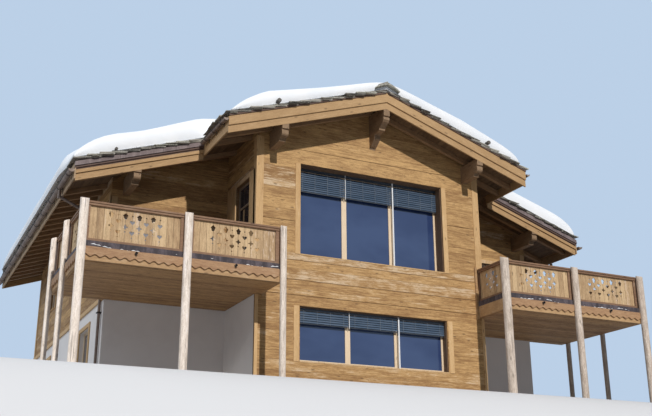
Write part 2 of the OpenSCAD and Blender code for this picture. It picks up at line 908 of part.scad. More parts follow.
// The frame of one run of balustrade, as [x0, x1] along it, with broad stiles at the given places,
// of which stile_show is seen on each side of a post.
// A cap lies on a narrower bar, and the stiles and the foot rail stand back under it.
module rail_frame(x0, x1, stiles) {
    low = rail_z - rail_h;
    difference() {
        union() {
            box([x0, 0, rail_z - cap_h], [x1, rail_w, rail_z]);
            box([x0, bar_in, low], [x1, frame_in + stile_t, rail_z - cap_h]);
            box([x0, frame_in, rail_foot], [x1, frame_in + stile_t, low]);
        }
        for (i = [0:len(stiles) - 2])
            box([stiles[i] + stile_w / 2, frame_in - 1, rail_foot + rail_foot_h],
                [stiles[i + 1] - stile_w / 2, frame_in + stile_t + 1, low]);
    }
}

module rail_panels(stiles) {
    for (i = [0:len(stiles) - 2])
        box([stiles[i] + stile_w / 2, plank_in, rail_foot + rail_foot_h],
            [stiles[i + 1] - stile_w / 2, plank_in + plank_t, rail_z - rail_h]);
}

joint_gap = 2;
front_x0 = balcony_in;
front_x1 = balcony_out;
front_stiles = [post_xs[2], post_xs[1], post_xs[0]];
stile_in = stile_show - stile_w / 2;
side_y0 = balcony_y + rail_w + joint_gap;
side_stiles = [side_y0 + stile_in, side_post_ys[0], side_post_ys[1]];
inner_stiles = [side_y0 + stile_in, inner_end - stile_in];
back_x1 = balcony_out - rail_w - joint_gap;
back_stiles = [body_half + stile_in, back_x1 - stile_in];

// Places a run that was drawn along x, so that it goes along the outer side, the inner side or the end
module outer_run() {
    translate([balcony_out, 0, 0]) rotate([0, 0, 90]) children();
}

module inner_run() {
    translate([balcony_in, 0, 0]) mirror([1, 0, 0]) rotate([0, 0, 90]) children();
}

module end_run() {
    translate([0, end_rail_y, 0]) mirror([0, 1, 0]) children();
}

module balcony_rails() {
    color(dark_wood) both() {
        translate([0, balcony_y, 0]) rail_frame(front_x0, front_x1, front_stiles);
        outer_run() rail_frame(side_y0, end_rail_y, side_stiles);
        inner_run() rail_frame(side_y0, inner_end, inner_stiles);
        end_run() rail_frame(body_half, back_x1, back_stiles);
    }
}

module balcony_panels() {
    color(pale_wood) both() {
        translate([0, balcony_y, 0]) rail_panels(front_stiles);
        outer_run() rail_panels(side_stiles);
        inner_run() rail_panels(inner_stiles);
        end_run() rail_panels(back_stiles);
    }
}

ground_floor();
upper_floor();
lower_wall_left();
lower_wall_right();
lower_wall_rear();
lower_front_walls();
bay_front_wall();
bay_side_walls();
upper_wall_left();
upper_wall_right();
rear_gable_wall();
upper_wing_fronts();
roof_left();
roof_right();
slates_left();
slates_right();
snow_left();
snow_right();
front_verge_boards();
wing_verge_boards();
verge_flashings();
rear_verge_boards();
eave_boards();
purlins();
rafters_left();
rafters_right();
gutters();
downpipes();
snow_guard_logs();
front_window_frames();
front_glass();
front_blinds();
facade_trim();
balcony_door_frames();
balcony_door_glass();
window_frames();
window_glass();
rear_door();
balcony_floors();
balcony_decks();
balcony_beams();
wave_boards();
balcony_posts();
balcony_rails();
balcony_panels();
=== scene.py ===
# %% [markdown]
# This is an alpine chalet: a plastered ground floor, a timber upper floor with a gabled bay, balconies
# on half-log posts, and a low roof of stone slates under deep snow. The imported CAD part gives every
# main form at its true size, in metres. What this script adds is the skin that a builder, a roofer
# and a winter add to it: boards, slates, cut-out planks, slatted blinds and the snow itself.

import math

import bmesh
import bpy
import numpy as np
from mathutils import Matrix


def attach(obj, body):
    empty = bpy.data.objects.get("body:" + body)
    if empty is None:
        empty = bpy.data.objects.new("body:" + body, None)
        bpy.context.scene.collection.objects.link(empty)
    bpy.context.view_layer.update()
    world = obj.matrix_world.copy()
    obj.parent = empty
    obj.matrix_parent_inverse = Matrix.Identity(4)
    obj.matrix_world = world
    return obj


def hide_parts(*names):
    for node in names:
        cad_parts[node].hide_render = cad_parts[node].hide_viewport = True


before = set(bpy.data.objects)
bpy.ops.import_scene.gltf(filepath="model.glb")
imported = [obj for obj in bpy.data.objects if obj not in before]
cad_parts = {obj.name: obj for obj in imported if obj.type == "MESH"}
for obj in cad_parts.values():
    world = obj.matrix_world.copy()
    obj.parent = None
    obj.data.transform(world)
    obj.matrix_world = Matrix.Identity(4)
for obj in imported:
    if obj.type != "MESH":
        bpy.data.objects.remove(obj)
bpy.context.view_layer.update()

# %% [markdown]
# The measures below are shared by many pieces. The roof is two planes that fall away from a ridge, so
# one function gives its height over any x, and one pair of directions leads down the slope and square
# to it. Under the measures of the building stand those of its posts, windows and doors: a place along
# the wall, and a lower and an upper height. One seeded source gives all the small accidents.

# %% Shared measures
pitch = math.radians(18.8)
ridge_z = 8.63
fall, lean = math.tan(pitch), math.cos(pitch)
deck_t, slate_t = 0.21, 0.14
step_x, eave_x = 4.86, 8.36
verge_y, wing_verge_y, rear_verge_y = -6.365, -4.34, 8.74
bay_x, bay_y = 3.65, -5.4
body_x, wing_y, rear_y = 7.1, -3.10, 7.7
deck_z = 2.83
balcony_x, balcony_y, inner_x, end_y = 8.52, -6.80, 3.463, -3.00
post_x, post_y = (3.46, 5.99, 8.545), (-4.955, -3.265)
front_x, picture_z, band_z = 2.34, (3.70, 6.36), (0.75, 2.24)
window_half, upper_z, lower_z = 0.60, (3.78, 5.03), (0.95, 2.00)
side_windows_y, rear_windows_x = (-0.9, 5.0), (-4.6, 0.0, 4.6)
bay_door, wing_door = (-4.90, -3.80, deck_z, 5.93), (3.95, 6.75, deck_z, 4.93)
upright_z = np.array([0, 0, 1.0])
luck = np.random.default_rng(7)


def roof_z(x, above=0.0):
    """Height of the roof boards' top over x, plus a distance above it that is square to the slope."""
    return ridge_z - fall * np.abs(x) + above / lean


def on_slope(u, y, w, side):
    """A point u down the slope from the ridge, at y, and w above the boards, on the given side."""
    u, y, w = np.broadcast_arrays(*(np.asarray(v, float) for v in (u, y, w)))
    x = u * math.cos(pitch) + w * math.sin(pitch)
    z = ridge_z - u * math.sin(pitch) + w * math.cos(pitch)
    return np.stack([side * x, y, z], -1)


print("soffit over the bay corner", round(float(roof_z(bay_x, -deck_t)), 3))

# %% [markdown]
# The camera stands at the photograph's viewing angle: lower than the house, some 22 m in front of it and
# to its left, looking up at it. Its place and focal length come from lines of the building whose
# directions are known. A sun from the front at 30 degrees throws the shadow of the gable onto the
# bay. A broad, soft lamp from the left models the snow on that side, and an even, weak sky fills the
# shade. They add up to about one on a wall that faces the front, so a colour shows there about as it
# is written.

# %% Camera and light
eye = np.array([-12.588, -28.027, -3.538])
yaw, climb, roll = np.radians([26.03, 19.03, -0.28])
forward = np.array([math.sin(yaw) * math.cos(climb), math.cos(yaw) * math.cos(climb), math.sin(climb)])
right = np.array([math.cos(yaw), -math.sin(yaw), 0.0])
up = np.cross(right, forward)
right, up = math.cos(roll) * right + math.sin(roll) * up, math.cos(roll) * up - math.sin(roll) * right
camera = bpy.data.objects.new("camera", bpy.data.cameras.new("camera"))
camera.data.lens, camera.data.sensor_width = 51.92, 36
camera.data.clip_end = 400
placed = np.eye(4)
placed[:3, 0], placed[:3, 1], placed[:3, 2], placed[:3, 3] = right, up, -forward, eye
camera.matrix_world = Matrix(placed.tolist())
bpy.context.scene.collection.objects.link(camera)
bpy.context.scene.camera = camera


def far_lamp(name, source, energy, spread, color):
    """A lamp at an endless distance in the direction of source, seen spread degrees wide."""
    lamp = bpy.data.objects.new(name, bpy.data.lights.new(name, "SUN"))
    lamp.data.energy, lamp.data.angle, lamp.data.color = energy, math.radians(spread), color
    axis_z = np.array(source) / np.linalg.norm(source)
    axis_x = np.cross([0.0, 0.0, 1.0], axis_z)
    axis_x /= np.linalg.norm(axis_x)
    turn = np.eye(4)
    turn[:3, 0], turn[:3, 1], turn[:3, 2] = axis_x, np.cross(axis_z, axis_x), axis_z
    lamp.matrix_world = Matrix(turn.tolist())
    bpy.context.scene.collection.objects.link(lamp)


sun_height = math.radians(30)
far_lamp("sun", (-0.03, -math.cos(sun_height), math.sin(sun_height)), 2.92, 1.2, (1.0, 0.97, 0.93))
far_lamp("sky_light", (-0.75, 0.10, 0.65), 1.6, 60.0, (0.90, 0.95, 1.0))
bpy.context.scene.view_settings.view_transform = "Standard"
print("camera at", eye.tolist(), "looking", forward.round(3).tolist())

# %% [markdown]
# Shader maths reads best as plain arithmetic. A wire is one output of a node, and adding, scaling or
# dividing wires adds the Math nodes that do it.

# %% Wires


def join(tree, slot, value):
    """Links a wire to a socket, or writes a number or colour on it."""
    if isinstance(value, Wire):
        tree.links.new(value.socket, slot)
    else:
        slot.default_value = value


class Wire:
    """An output socket that takes part in arithmetic."""

    def __init__(self, tree, socket):
        self.tree, self.socket = tree, socket

    def math(self, operation, *others):
        node = self.tree.nodes.new("ShaderNodeMath")
        node.operation = operation
        for slot, value in zip(node.inputs, (self, *others)):
            join(self.tree, slot, value)
        return Wire(self.tree, node.outputs[0])

    def __add__(self, other):
        return self.math("ADD", other)

    def __sub__(self, other):
        return self.math("SUBTRACT", other)

    def __mul__(self, other):
        return self.math("MULTIPLY", other)

    def __truediv__(self, other):
        return self.math("DIVIDE", other)

    def __rsub__(self, other):
        return self * -1 + other

    def __abs__(self):
        return self.math("ABSOLUTE")

    __radd__, __rmul__ = __add__, __mul__


print("arithmetic ready")

# %% [markdown]
# A finish is one material. Its one node method makes any node from a type, the node's own choices, and
# values or wires for its sockets. A number that is the same all over stands on the shader's own socket,
# because an export keeps it there.

# %% Finishes


class Finish:
    """One procedural material. Its constants stand on the shader's own sockets."""

    def __init__(self, name, **constants):
        self.material = bpy.data.materials.new(name)
        self.material.use_nodes = True
        self.tree = self.material.node_tree
        self.shader = self.tree.nodes["Principled BSDF"]
        for key, value in constants.items():
            self.shader.inputs[key.replace("_", " ")].default_value = value

    def node(self, kind, settings=None, out=0, **sockets):
        """Any node: its own choices are set first, then its sockets; out picks one output or several."""
        made = self.tree.nodes.new(kind)
        for key, value in (settings or {}).items():
            if key == "stops":
                ramp = made.color_ramp.elements
                while len(ramp) < len(value):
                    ramp.new(0.5)
                for element, (place, colour) in zip(ramp, value):
                    element.position, element.color = place, colour
            else:
                setattr(made, key, value)
        for key, value in sockets.items():
            label = key.replace("_", " ")
            slot = next(s for s in made.inputs if s.enabled and (s.identifier == key or s.name == label))
            join(self.tree, slot, value)
        if isinstance(out, tuple):
            return tuple(Wire(self.tree, made.outputs[o]) for o in out)
        return Wire(self.tree, made.outputs[out])

    def place(self):
        """The point's own x, y and z, in metres."""
        where = self.node("ShaderNodeTexCoord", out="Object")
        return self.node("ShaderNodeSeparateXYZ", out=(0, 1, 2), Vector=where)

    def point(self, x, y, z):
        return self.node("ShaderNodeCombineXYZ", X=x, Y=y, Z=z)

    def noise(self, where, scale=1.0, detail=3.0, rough=0.55):
        return self.node("ShaderNodeTexNoise", out="Fac", Vector=where, Scale=scale, Detail=detail,
                         Roughness=rough)

    def cells(self, where, scale=1.0, out="Distance"):
        return self.node("ShaderNodeTexVoronoi", out=out, Vector=where, Scale=scale)

    def fade(self, value, low, high):
        """Goes smoothly from 0 at low to 1 at high."""
        return self.node("ShaderNodeMapRange", {"interpolation_type": "SMOOTHSTEP"},
                         Value=value, From_Min=low, From_Max=high)

    def mix(self, share, a, b):
        """Colour a where share is 0, colour b where it is 1."""
        return self.node("ShaderNodeMix", {"data_type": "RGBA"}, out=2,
                         Factor_Float=share, A_Color=a, B_Color=b)

    def board(self):
        """The three numbers that a piece's maker gave each of its boards: tone, shift and greyness."""
        colour = self.node("ShaderNodeAttribute", {"attribute_name": "board"}, out="Color")
        return self.node("ShaderNodeSeparateColor", out=(0, 1, 2), Color=colour)

    def bump(self, height, strength=0.5, distance=0.01):
        normal = self.node("ShaderNodeBump", Strength=strength, Distance=distance, Height=height)
        join(self.tree, self.shader.inputs["Normal"], normal)

    def paint(self, **sockets):
        for key, value in sockets.items():
            join(self.tree, self.shader.inputs[key.replace("_", " ")], value)
        return self.material


def rgb(r, g, b):
    return (r, g, b, 1.0)


print("shader helpers ready")

# %% [markdown]
# The house stands on a plain pale floor. Since the camera stands lower than the house, the floor has to
# fall away in front of it: its height is zero under the house and follows a smooth step down to the
# camera's level. It looks pale, but it throws only as much light up to the house as a darker one would.

# %% Floor
edge_y, slope_length, slope_drop, floor_end = -7.05, 8.0, 5.8, 110
span_x = np.linspace(-floor_end, floor_end, 45)
span_y = np.concatenate([
    np.linspace(-75, -16, 16), np.linspace(-15.5, edge_y, 40), np.linspace(-6, floor_end, 24)])
grid_x, grid_y = np.meshgrid(span_x, span_y)
share = np.clip((edge_y - grid_y) / slope_length, 0, 1)
grid_z = -slope_drop * share * share * (3 - 2 * share)
floor_verts = np.stack([grid_x, grid_y, grid_z], -1).reshape(-1, 3)


def grid_faces(rows, columns, wrap=False):
    """Quads between neighbouring points of a grid that is stored row by row. With wrap, rows are rings."""
    i, j = np.meshgrid(np.arange(rows - 1), np.arange(columns - (0 if wrap else 1)), indexing="ij")
    k, row, next_row = (j + 1) % columns, i * columns, (i + 1) * columns
    return np.stack([row + j, row + k, next_row + k, next_row + j], -1).reshape(-1, 4)


def looked_at(tree):
    """1 where the camera sees a surface, straight or by way of gloss or glass, and 0 where it gives light."""
    rays = tree.nodes.new("ShaderNodeLightPath").outputs
    ways = ("Is Camera Ray", "Is Glossy Ray", "Is Transmission Ray")
    return sum(Wire(tree, rays[way]) for way in ways).math("MINIMUM", 1.0)


floor_mesh = bpy.data.meshes.new("floor")
floor_mesh.from_pydata(floor_verts.tolist(), [], grid_faces(*grid_x.shape).tolist())
floor_mesh.polygons.foreach_set("use_smooth", [True] * len(floor_mesh.polygons))
floor = bpy.data.objects.new("floor", floor_mesh)
bpy.context.scene.collection.objects.link(floor)
ground = Finish("pale_floor", Roughness=0.95)
ground.shader.inputs["Specular IOR Level"].default_value = 0.1
tone = ground.mix(looked_at(ground.tree), rgb(0.36, 0.365, 0.375), rgb(0.66, 0.67, 0.69))
floor_mesh.materials.append(ground.paint(Base_Color=tone))
print("floor points", len(floor_verts), "lowest", float(grid_z.min()))

# %% [markdown]
# The sky works in the same way. The camera and the glass see a pale blue, so that white snow stands out
# against it, while the sky that lights the house is a neutral, weaker one.

# %% Sky
world = bpy.data.worlds.new("sky")
world.use_nodes = True
bpy.context.scene.world = world
tree = world.node_tree
blend = tree.nodes.new("ShaderNodeMix")
blend.data_type = "RGBA"
join(tree, blend.inputs["Factor"], looked_at(tree))
blend.inputs[6].default_value = rgb(0.104, 0.120, 0.150)
blend.inputs[7].default_value = rgb(0.50, 0.63, 0.80)
join(tree, tree.nodes["Background"].inputs["Color"], Wire(tree, blend.outputs[2]))
print("nodes of the sky", len(tree.nodes))

# %% [markdown]
# Wood is the main material here, in some twenty finishes, and all of them come from one recipe. Grain is
# noise that is stretched along the board, finer noise makes its fibres, and cells stretched the same
# way make knots. Each board carries three numbers: its tone, a shift that moves the grain so that no
# two boards match, and how far sun and rain have greyed it. On the raking boards of the roof the grain
# runs down the slope, so the recipe first turns x and z by the roof's pitch.

# %% The timber recipe


def timber(name, light, deep, grey, grain="x", rough=0.72, boards=True, greyed=0.25, contrast=1.0,
           specks=0.3, cracks=0.0, long=1.0):
    """Wood with its grain along x, y, z or the rake of the roof. Its colour goes from deep to light with the
    sum of streaks, fibres, clouds and the board's own tone, and towards grey where the board is worn."""
    f = Finish(name)
    x, y, z = f.place()
    if grain == "rake":
        run = abs(x) * math.cos(pitch) - z * math.sin(pitch)
        over, deep_in = abs(x) * math.sin(pitch) + z * math.cos(pitch), y
    else:
        run, over, deep_in = {"x": (x, z, y), "y": (y, z, x), "z": (z, x, y)}[grain]
    if boards:
        tone, shift, pale_board = f.board()
    else:
        tone = f.noise(f.point(run * 0.15, over * 1.1, deep_in * 1.7), 1.0, 1.0)
        shift, pale_board = tone * 0.0, f.noise(f.point(run * 0.3, over * 0.8, deep_in * 0.8), 1.0, 2.0)
    run, over, deep_in = run + shift * 13.0, over + shift * 3.7, deep_in + shift * 2.9
    streaks = f.noise(f.point(run * (4.2 / long), over * 24.0, deep_in * 24.0), 1.0, 5.0, 0.68)
    fibres = f.noise(f.point(run * (19.0 / long), over * 85.0, deep_in * 85.0), 1.0, 3.0, 0.65)
    clouds = f.noise(f.point(run * 1.5, over * 4.0, deep_in * 4.0), 1.0, 4.0, 0.6)
    knot = f.cells(f.point(run * 2.1, over * 6.0, deep_in * 6.0))
    knots = 1.0 - f.fade(knot, 0.05, 0.17)
    amount = (streaks - 0.5) * 1.9 + (fibres - 0.5) * 1.3 + (clouds - 0.5) * 1.0
    amount = amount * contrast + (tone - 0.5) * 0.9 + 0.5
    colour = f.mix(amount.math("MAXIMUM", 0.0).math("MINIMUM", 1.0), rgb(*deep), rgb(*light))
    worn = (clouds - 0.5) * 1.5 + (streaks - 0.5) * 1.6 + (fibres - 0.5) * 0.8 + pale_board * 0.9
    worn = f.fade(worn, 0.62, 1.1)
    colour = f.mix(worn * greyed * 2.2, colour, rgb(*grey))
    dots = f.noise(f.point(run * 30.0, over * 62.0, deep_in * 62.0), 1.0, 2.0)
    splits = f.noise(f.point(run * 1.1, over * 30.0, deep_in * 30.0), 1.0, 2.0)
    dark = f.fade(dots, 0.60, 0.74) * specks + f.fade(splits, 0.60, 0.67) * cracks + knots * 0.7
    colour = f.mix(dark.math("MINIMUM", 1.0), colour, rgb(*(0.4 * v for v in deep)))
    f.bump(streaks * 0.6 + fibres * 0.4 - knots * 0.2, 0.5, 0.004)
    return f.paint(Base_Color=colour, Roughness=fibres * 0.2 + (rough - 0.1))


print("timber recipe ready")

# %% [markdown]
# Each wood is the recipe with a light, a deep and a weathered colour. Where a piece is made of single
# boards, they carry their own tones. The CAD nodes and their eased copies have no such numbers, so there
# the tone comes from slow noise.

# %% Woods of the house
siding_look = dict(light=(0.63, 0.390, 0.160), deep=(0.27, 0.138, 0.046), grey=(0.66, 0.54, 0.40),
                   greyed=0.28, contrast=1.2, specks=0.75, long=2.2)
siding = timber("siding_boards", grain="x", **siding_look)
siding_side = timber("siding_boards_of_the_sides", grain="y", **siding_look)
wall_wood = timber("wall_behind_the_boards", (0.33, 0.19, 0.08), (0.14, 0.07, 0.025), (0.3, 0.24, 0.19),
                   boards=False)
verge_wood = timber("verge_boards", (0.53, 0.34, 0.165), (0.36, 0.21, 0.09), (0.60, 0.44, 0.28), "rake",
                    boards=False, greyed=0.15, contrast=0.8)
eave_wood = timber("eave_boards", (0.50, 0.37, 0.235), (0.34, 0.22, 0.12), (0.5, 0.4, 0.3), "y", boards=False,
                   greyed=0.2, contrast=0.6)
trim_wood = timber("casing_boards", (0.70, 0.47, 0.235), (0.49, 0.29, 0.12), (0.72, 0.56, 0.38), "z",
                   boards=False, greyed=0.2, contrast=0.7)
frame_wood = timber("window_frames", (0.86, 0.69, 0.49), (0.68, 0.51, 0.33), (0.85, 0.72, 0.56), "z", 0.5,
                    boards=False, greyed=0.1, contrast=0.5)
beam_wood = timber("hewn_beams", (0.32, 0.205, 0.115), (0.17, 0.10, 0.05), (0.33, 0.25, 0.19), "y",
                   boards=False, greyed=0.3)
rafter_wood = timber("rafters", (0.40, 0.245, 0.125), (0.23, 0.13, 0.062), (0.3, 0.23, 0.17), "rake",
                     boards=False, greyed=0.15)
soffit_wood = timber("soffit_boards", (0.20, 0.12, 0.06), (0.10, 0.055, 0.025), (0.2, 0.15, 0.1), "y",
                     greyed=0.1)
rail_wood = timber("brown_rails", (0.28, 0.160, 0.090), (0.15, 0.078, 0.042), (0.34, 0.24, 0.165), "x",
                   boards=False, greyed=0.3, contrast=0.8)
plank_wood = timber("balustrade_planks", (0.64, 0.455, 0.255), (0.36, 0.225, 0.115), (0.64, 0.50, 0.40), "z",
                    greyed=0.45, contrast=1.15, cracks=0.35)
edge_wood = timber("balcony_edge_boards", (0.52, 0.335, 0.165), (0.31, 0.17, 0.075), (0.50, 0.38, 0.27), "x",
                   boards=False, greyed=0.35)
under_wood = timber("balcony_underside", (0.49, 0.285, 0.12), (0.21, 0.10, 0.038), (0.44, 0.31, 0.18), "x",
                    greyed=0.2, contrast=1.2)
log_wood = timber("debarked_posts", (0.95, 0.84, 0.735), (0.45, 0.36, 0.285), (0.95, 0.87, 0.83), "z", 0.8,
                  greyed=0.45, contrast=0.9, cracks=0.55)
wave_wood = timber("scalloped_boards", (0.45, 0.27, 0.14), (0.25, 0.125, 0.06), (0.43, 0.32, 0.23), "x",
                   boards=False, greyed=0.3)
trim_boards = timber("casing_boards_of_the_walls", (0.68, 0.46, 0.24), (0.46, 0.28, 0.12), (0.70, 0.55, 0.38),
                     "z", greyed=0.2, contrast=0.7)
# Dark brown, partly painted shade of the deep window recesses.
lining_wood_painted_shade = timber("brown_linings_painted_shade", (0.20, 0.115, 0.06), (0.10, 0.055, 0.03), (0.22, 0.15, 0.10), "z",
                     boards=False, greyed=0.15)
# The glazed doors' frames are darkened as painted shade on the bay's side walls.
sash_wood_painted_shade = timber("brown_sashes_painted_shade", (0.30, 0.215, 0.145), (0.19, 0.125, 0.08), (0.3, 0.25, 0.2), "z",
                   boards=False)
# Near-black battens: painted shade under the verge sheets and the slates.
painted_shade_batten_wood = timber("battens_dark_as_painted_shade", (0.15, 0.085, 0.058), (0.075, 0.042, 0.032), (0.12, 0.09, 0.07), "rake",
                     boards=False)
door_wood = timber("door_boards", (0.34, 0.21, 0.10), (0.20, 0.115, 0.05), (0.34, 0.25, 0.17), "z",
                   greyed=0.1)
grey_log = timber("guard_logs", (0.13, 0.115, 0.10), (0.07, 0.06, 0.05), (0.18, 0.17, 0.15), "y",
                  boards=False, greyed=0.4)
floor_wood = timber("room_floor", (0.45, 0.3, 0.17), (0.3, 0.19, 0.1), (0.45, 0.36, 0.28), "y", boards=False)
print("timber finishes", sum(1 for m in bpy.data.materials if m.use_nodes))

# %% [markdown]
# The other finishes are mineral, metal, glass and snow. Split slate is layered and blotched with
# lichen, snow is nearly even, and old copper has gone brown with paler streaks where water runs.

# %% Recipes for slate, snow and sheet metal


def slate_finish():
    f = Finish("split_slate")
    x, y, z = f.place()
    tone, shift, pale_board = f.board()
    where = f.point(x + shift * 7.0, y + shift * 5.0, z + shift * 3.0)
    blotch, grit = f.noise(where, 5.0, 5.0, 0.6), f.noise(where, 38.0, 4.0, 0.65)
    layer = f.noise(f.point(x * 3.0, y * 3.0, z * 60.0), 1.0, 3.0)
    pale = f.fade(blotch + (tone - 0.5) * 0.5, 0.25, 0.8)
    colour = f.mix(pale, rgb(0.085, 0.078, 0.068), rgb(0.40, 0.375, 0.325))
    colour = f.mix(f.fade(layer, 0.58, 0.72) * 0.65, colour, rgb(0.055, 0.050, 0.045))
    colour = f.mix(f.fade(grit + pale_board * 0.25, 0.60, 0.80), colour, rgb(0.52, 0.51, 0.43))
    f.bump(blotch * 0.5 + grit * 0.3 + layer * 0.5, 0.8, 0.012)
    return f.paint(Base_Color=colour, Roughness=grit * 0.25 + 0.65)


def snow_finish():
    f = Finish("settled_snow")
    x, y, z = f.place()
    where = f.point(x, y, z)
    soft, crust = f.noise(where, 1.6, 3.0, 0.5), f.noise(where, 14.0, 4.0, 0.6)
    colour = f.mix(f.fade(soft, 0.3, 0.7), rgb(0.80, 0.83, 0.87), rgb(0.86, 0.875, 0.90))
    f.bump(soft * 0.8 + crust * 0.2, 0.35, 0.03)
    return f.paint(Base_Color=colour, Roughness=crust * 0.2 + 0.6)


def sheet_finish(name, base, streak, metal, rough):
    f = Finish(name)
    x, y, z = f.place()
    runs = f.noise(f.point(x * 6.0, y * 6.0, z * 1.2), 1.0, 4.0, 0.6)
    spots = f.noise(f.point(x, y, z), 22.0, 3.0)
    colour = f.mix(f.fade(runs + (spots - 0.5) * 0.4, 0.35, 0.75), rgb(*base), rgb(*streak))
    f.bump(runs * 0.6 + spots * 0.4, 0.25, 0.004)
    return f.paint(Base_Color=colour, Metallic=runs * 0.1 + metal, Roughness=spots * 0.25 + rough)


print("recipes for slate, snow and sheet metal ready")

# %% [markdown]
# Plaster and concrete share a recipe of fine grit with clouds of stain. Slats have only a thin film. Panes are
# dark, because daylight is so much stronger than the light in a room, with a painted reflection in a paler
# colour.

# %% Recipes for plaster, panes and slats


def mineral_finish(name, base, stain, grit_scale, relief, foot=0.0):
    """Plaster or concrete, with a damp stain that fades out above the ground where foot is given."""
    f = Finish(name)
    x, y, z = f.place()
    where = f.point(x, y, z)
    cloud, grit = f.noise(where, 0.9, 4.0), f.noise(where, grit_scale, 4.0, 0.7)
    share = f.fade(cloud + (grit - 0.5) * 0.5, 0.45, 0.85)
    if foot:
        share = share * 0.6 + (1.0 - f.fade(z + cloud * 0.3, 0.05, foot)) * 0.5
    f.bump(grit + cloud * 0.3, relief, 0.004)
    return f.paint(Base_Color=f.mix(share, rgb(*base), rgb(*stain)), Roughness=grit * 0.1 + 0.82)


def pane_finish(name, dark, pale):
    f = Finish(name, IOR=1.6)
    x, y, z = f.place()
    # Slow noise mixes in the paler colour as a painted reflection of the sky.
    haze_and_painted_reflection = f.noise(f.point(x * 0.5, y * 0.5, z * 0.9), 1.0, 3.0)
    colour = f.mix(f.fade(haze_and_painted_reflection, 0.3, 0.7), rgb(*dark), rgb(*pale))
    return f.paint(Base_Color=colour, Roughness=haze_and_painted_reflection * 0.03 + 0.03)


def slat_finish(name, base, dust, rough):
    f = Finish(name)
    x, y, z = f.place()
    film = f.noise(f.point(x * 1.5, y * 20.0, z * 20.0), 1.0, 3.0)
    colour = f.mix(f.fade(film, 0.35, 0.75), rgb(*base), rgb(*dust))
    return f.paint(Base_Color=colour, Roughness=film * 0.2 + rough)


print("recipes for plaster, panes and slats ready")

# %% [markdown]
# The recipes become finishes with two colours each: the clean surface, and what weather or dust lays over
# it; for the panes the second colour is a painted reflection. Panes get a little of both, so that they don't
# look like painted boards.

# %% Finishes of stone, metal and glass
slate, snow = slate_finish(), snow_finish()
pane = pane_finish("dark_blue_panes_painted_reflection", (0.026, 0.047, 0.127), (0.043, 0.072, 0.168))
door_pane = pane_finish("dark_panes", (0.010, 0.012, 0.022), (0.022, 0.025, 0.040))
grey_pane = pane_finish("grey_panes_painted_reflection", (0.050, 0.055, 0.070), (0.300, 0.290, 0.300))
copper = sheet_finish("aged_copper", (0.16, 0.112, 0.088), (0.31, 0.235, 0.19), 0.15, 0.45)
strap_metal = sheet_finish("dark_straps", (0.035, 0.026, 0.022), (0.07, 0.05, 0.042), 0.2, 0.5)
# On the dark kerb sheet the paler, pinkish colour is painted sheen.
dark_sheet = sheet_finish("dark_sheet", (0.034, 0.026, 0.030), (0.125, 0.100, 0.112), 0.0, 0.65)
flashing_metal = sheet_finish("verge_sheet", (0.13, 0.092, 0.088), (0.23, 0.178, 0.172), 0.05, 0.5)
iron = sheet_finish("dark_iron", (0.03, 0.028, 0.027), (0.075, 0.065, 0.06), 0.5, 0.45)
plaster = mineral_finish("rendered_plaster", (0.84, 0.81, 0.79), (0.72, 0.68, 0.66), 60.0, 0.5, 0.9)
concrete = mineral_finish("cast_concrete", (0.42, 0.41, 0.39), (0.3, 0.29, 0.28), 30.0, 0.4)
slats = slat_finish("blind_slats", (0.045, 0.077, 0.125), (0.080, 0.115, 0.168), 0.30)
# Near black: the bottom rails' own colour, and painted shade on the head boxes under the lintels.
dark_rails_and_painted_shade = slat_finish("blind_rails", (0.022, 0.030, 0.042), (0.045, 0.055, 0.07), 0.35)
# The guides are near white as a painted glint of sunlit aluminium.
guides_white_as_painted_glint = slat_finish("white_guides", (0.86, 0.87, 0.88), (0.76, 0.78, 0.80), 0.35)
cord = slat_finish("blind_cords", (0.20, 0.235, 0.28), (0.13, 0.16, 0.20), 0.6)
print("finishes", len(bpy.data.materials))

# %% [markdown]
# A few small helpers turn arrays into pieces. One puts points and faces into a mesh that rides on the
# house, and one stacks several sets of them, so that hundreds of boards become a single piece.

# %% Mesh helpers


def shown(name, mesh, replaces):
    """A mesh as an object that rides on the house, in place of the nodes that it replaces."""
    made = bpy.data.objects.new(name, mesh)
    bpy.context.scene.collection.objects.link(made)
    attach(made, "root")
    if replaces:
        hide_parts(*replaces)
    return made


def piece(name, shape, finish, replaces=(), boards=None, smooth=None):
    """A named piece from the points (n, 3) and faces of a shape. For each point, boards holds the tone,
    shift and greyness of its board."""
    verts, faces = shape
    mesh = bpy.data.meshes.new(name)
    mesh.from_pydata(np.asarray(verts, float).reshape(-1, 3).tolist(), [], [list(map(int, f)) for f in faces])
    if boards is not None:
        boards = np.asarray(boards, float).reshape(-1, 3)
        values = np.concatenate([boards, np.ones((len(boards), 1))], 1)
        layer = mesh.attributes.new("board", "FLOAT_COLOR", "POINT")
        layer.data.foreach_set("color", values.astype(np.float32).ravel())
    work = bmesh.new()
    work.from_mesh(mesh)
    bmesh.ops.recalc_face_normals(work, faces=work.faces)
    work.to_mesh(mesh)
    work.free()
    if smooth is not None:
        mesh.polygons.foreach_set("use_smooth", [True] * len(mesh.polygons))
        mesh.set_sharp_from_angle(angle=math.radians(smooth))
    mesh.materials.append(finish)
    shown(name, mesh, replaces)
    mesh.calc_loop_triangles()
    print(name, "triangles", len(mesh.loop_triangles))


def stack(sets):
    """Several (points, faces) sets as one, with the faces' numbers moved on."""
    verts, faces, count = [], [], 0
    for points, quads in sets:
        points = np.asarray(points, float).reshape(-1, 3)
        verts.append(points)
        faces += [[int(v) + count for v in face] for face in quads]
        count += len(points)
    return np.concatenate(verts), faces


print("mesh helpers ready")

# %% [markdown]
# Most of the house is boards. Many chamfered boards are made at once: each is a back outline of four
# corners, a shoulder, and a front outline that is drawn in a little, so every joint between two boards is
# a real groove that catches shade. Plain boards are given as boxes, and every board gets its own tone.

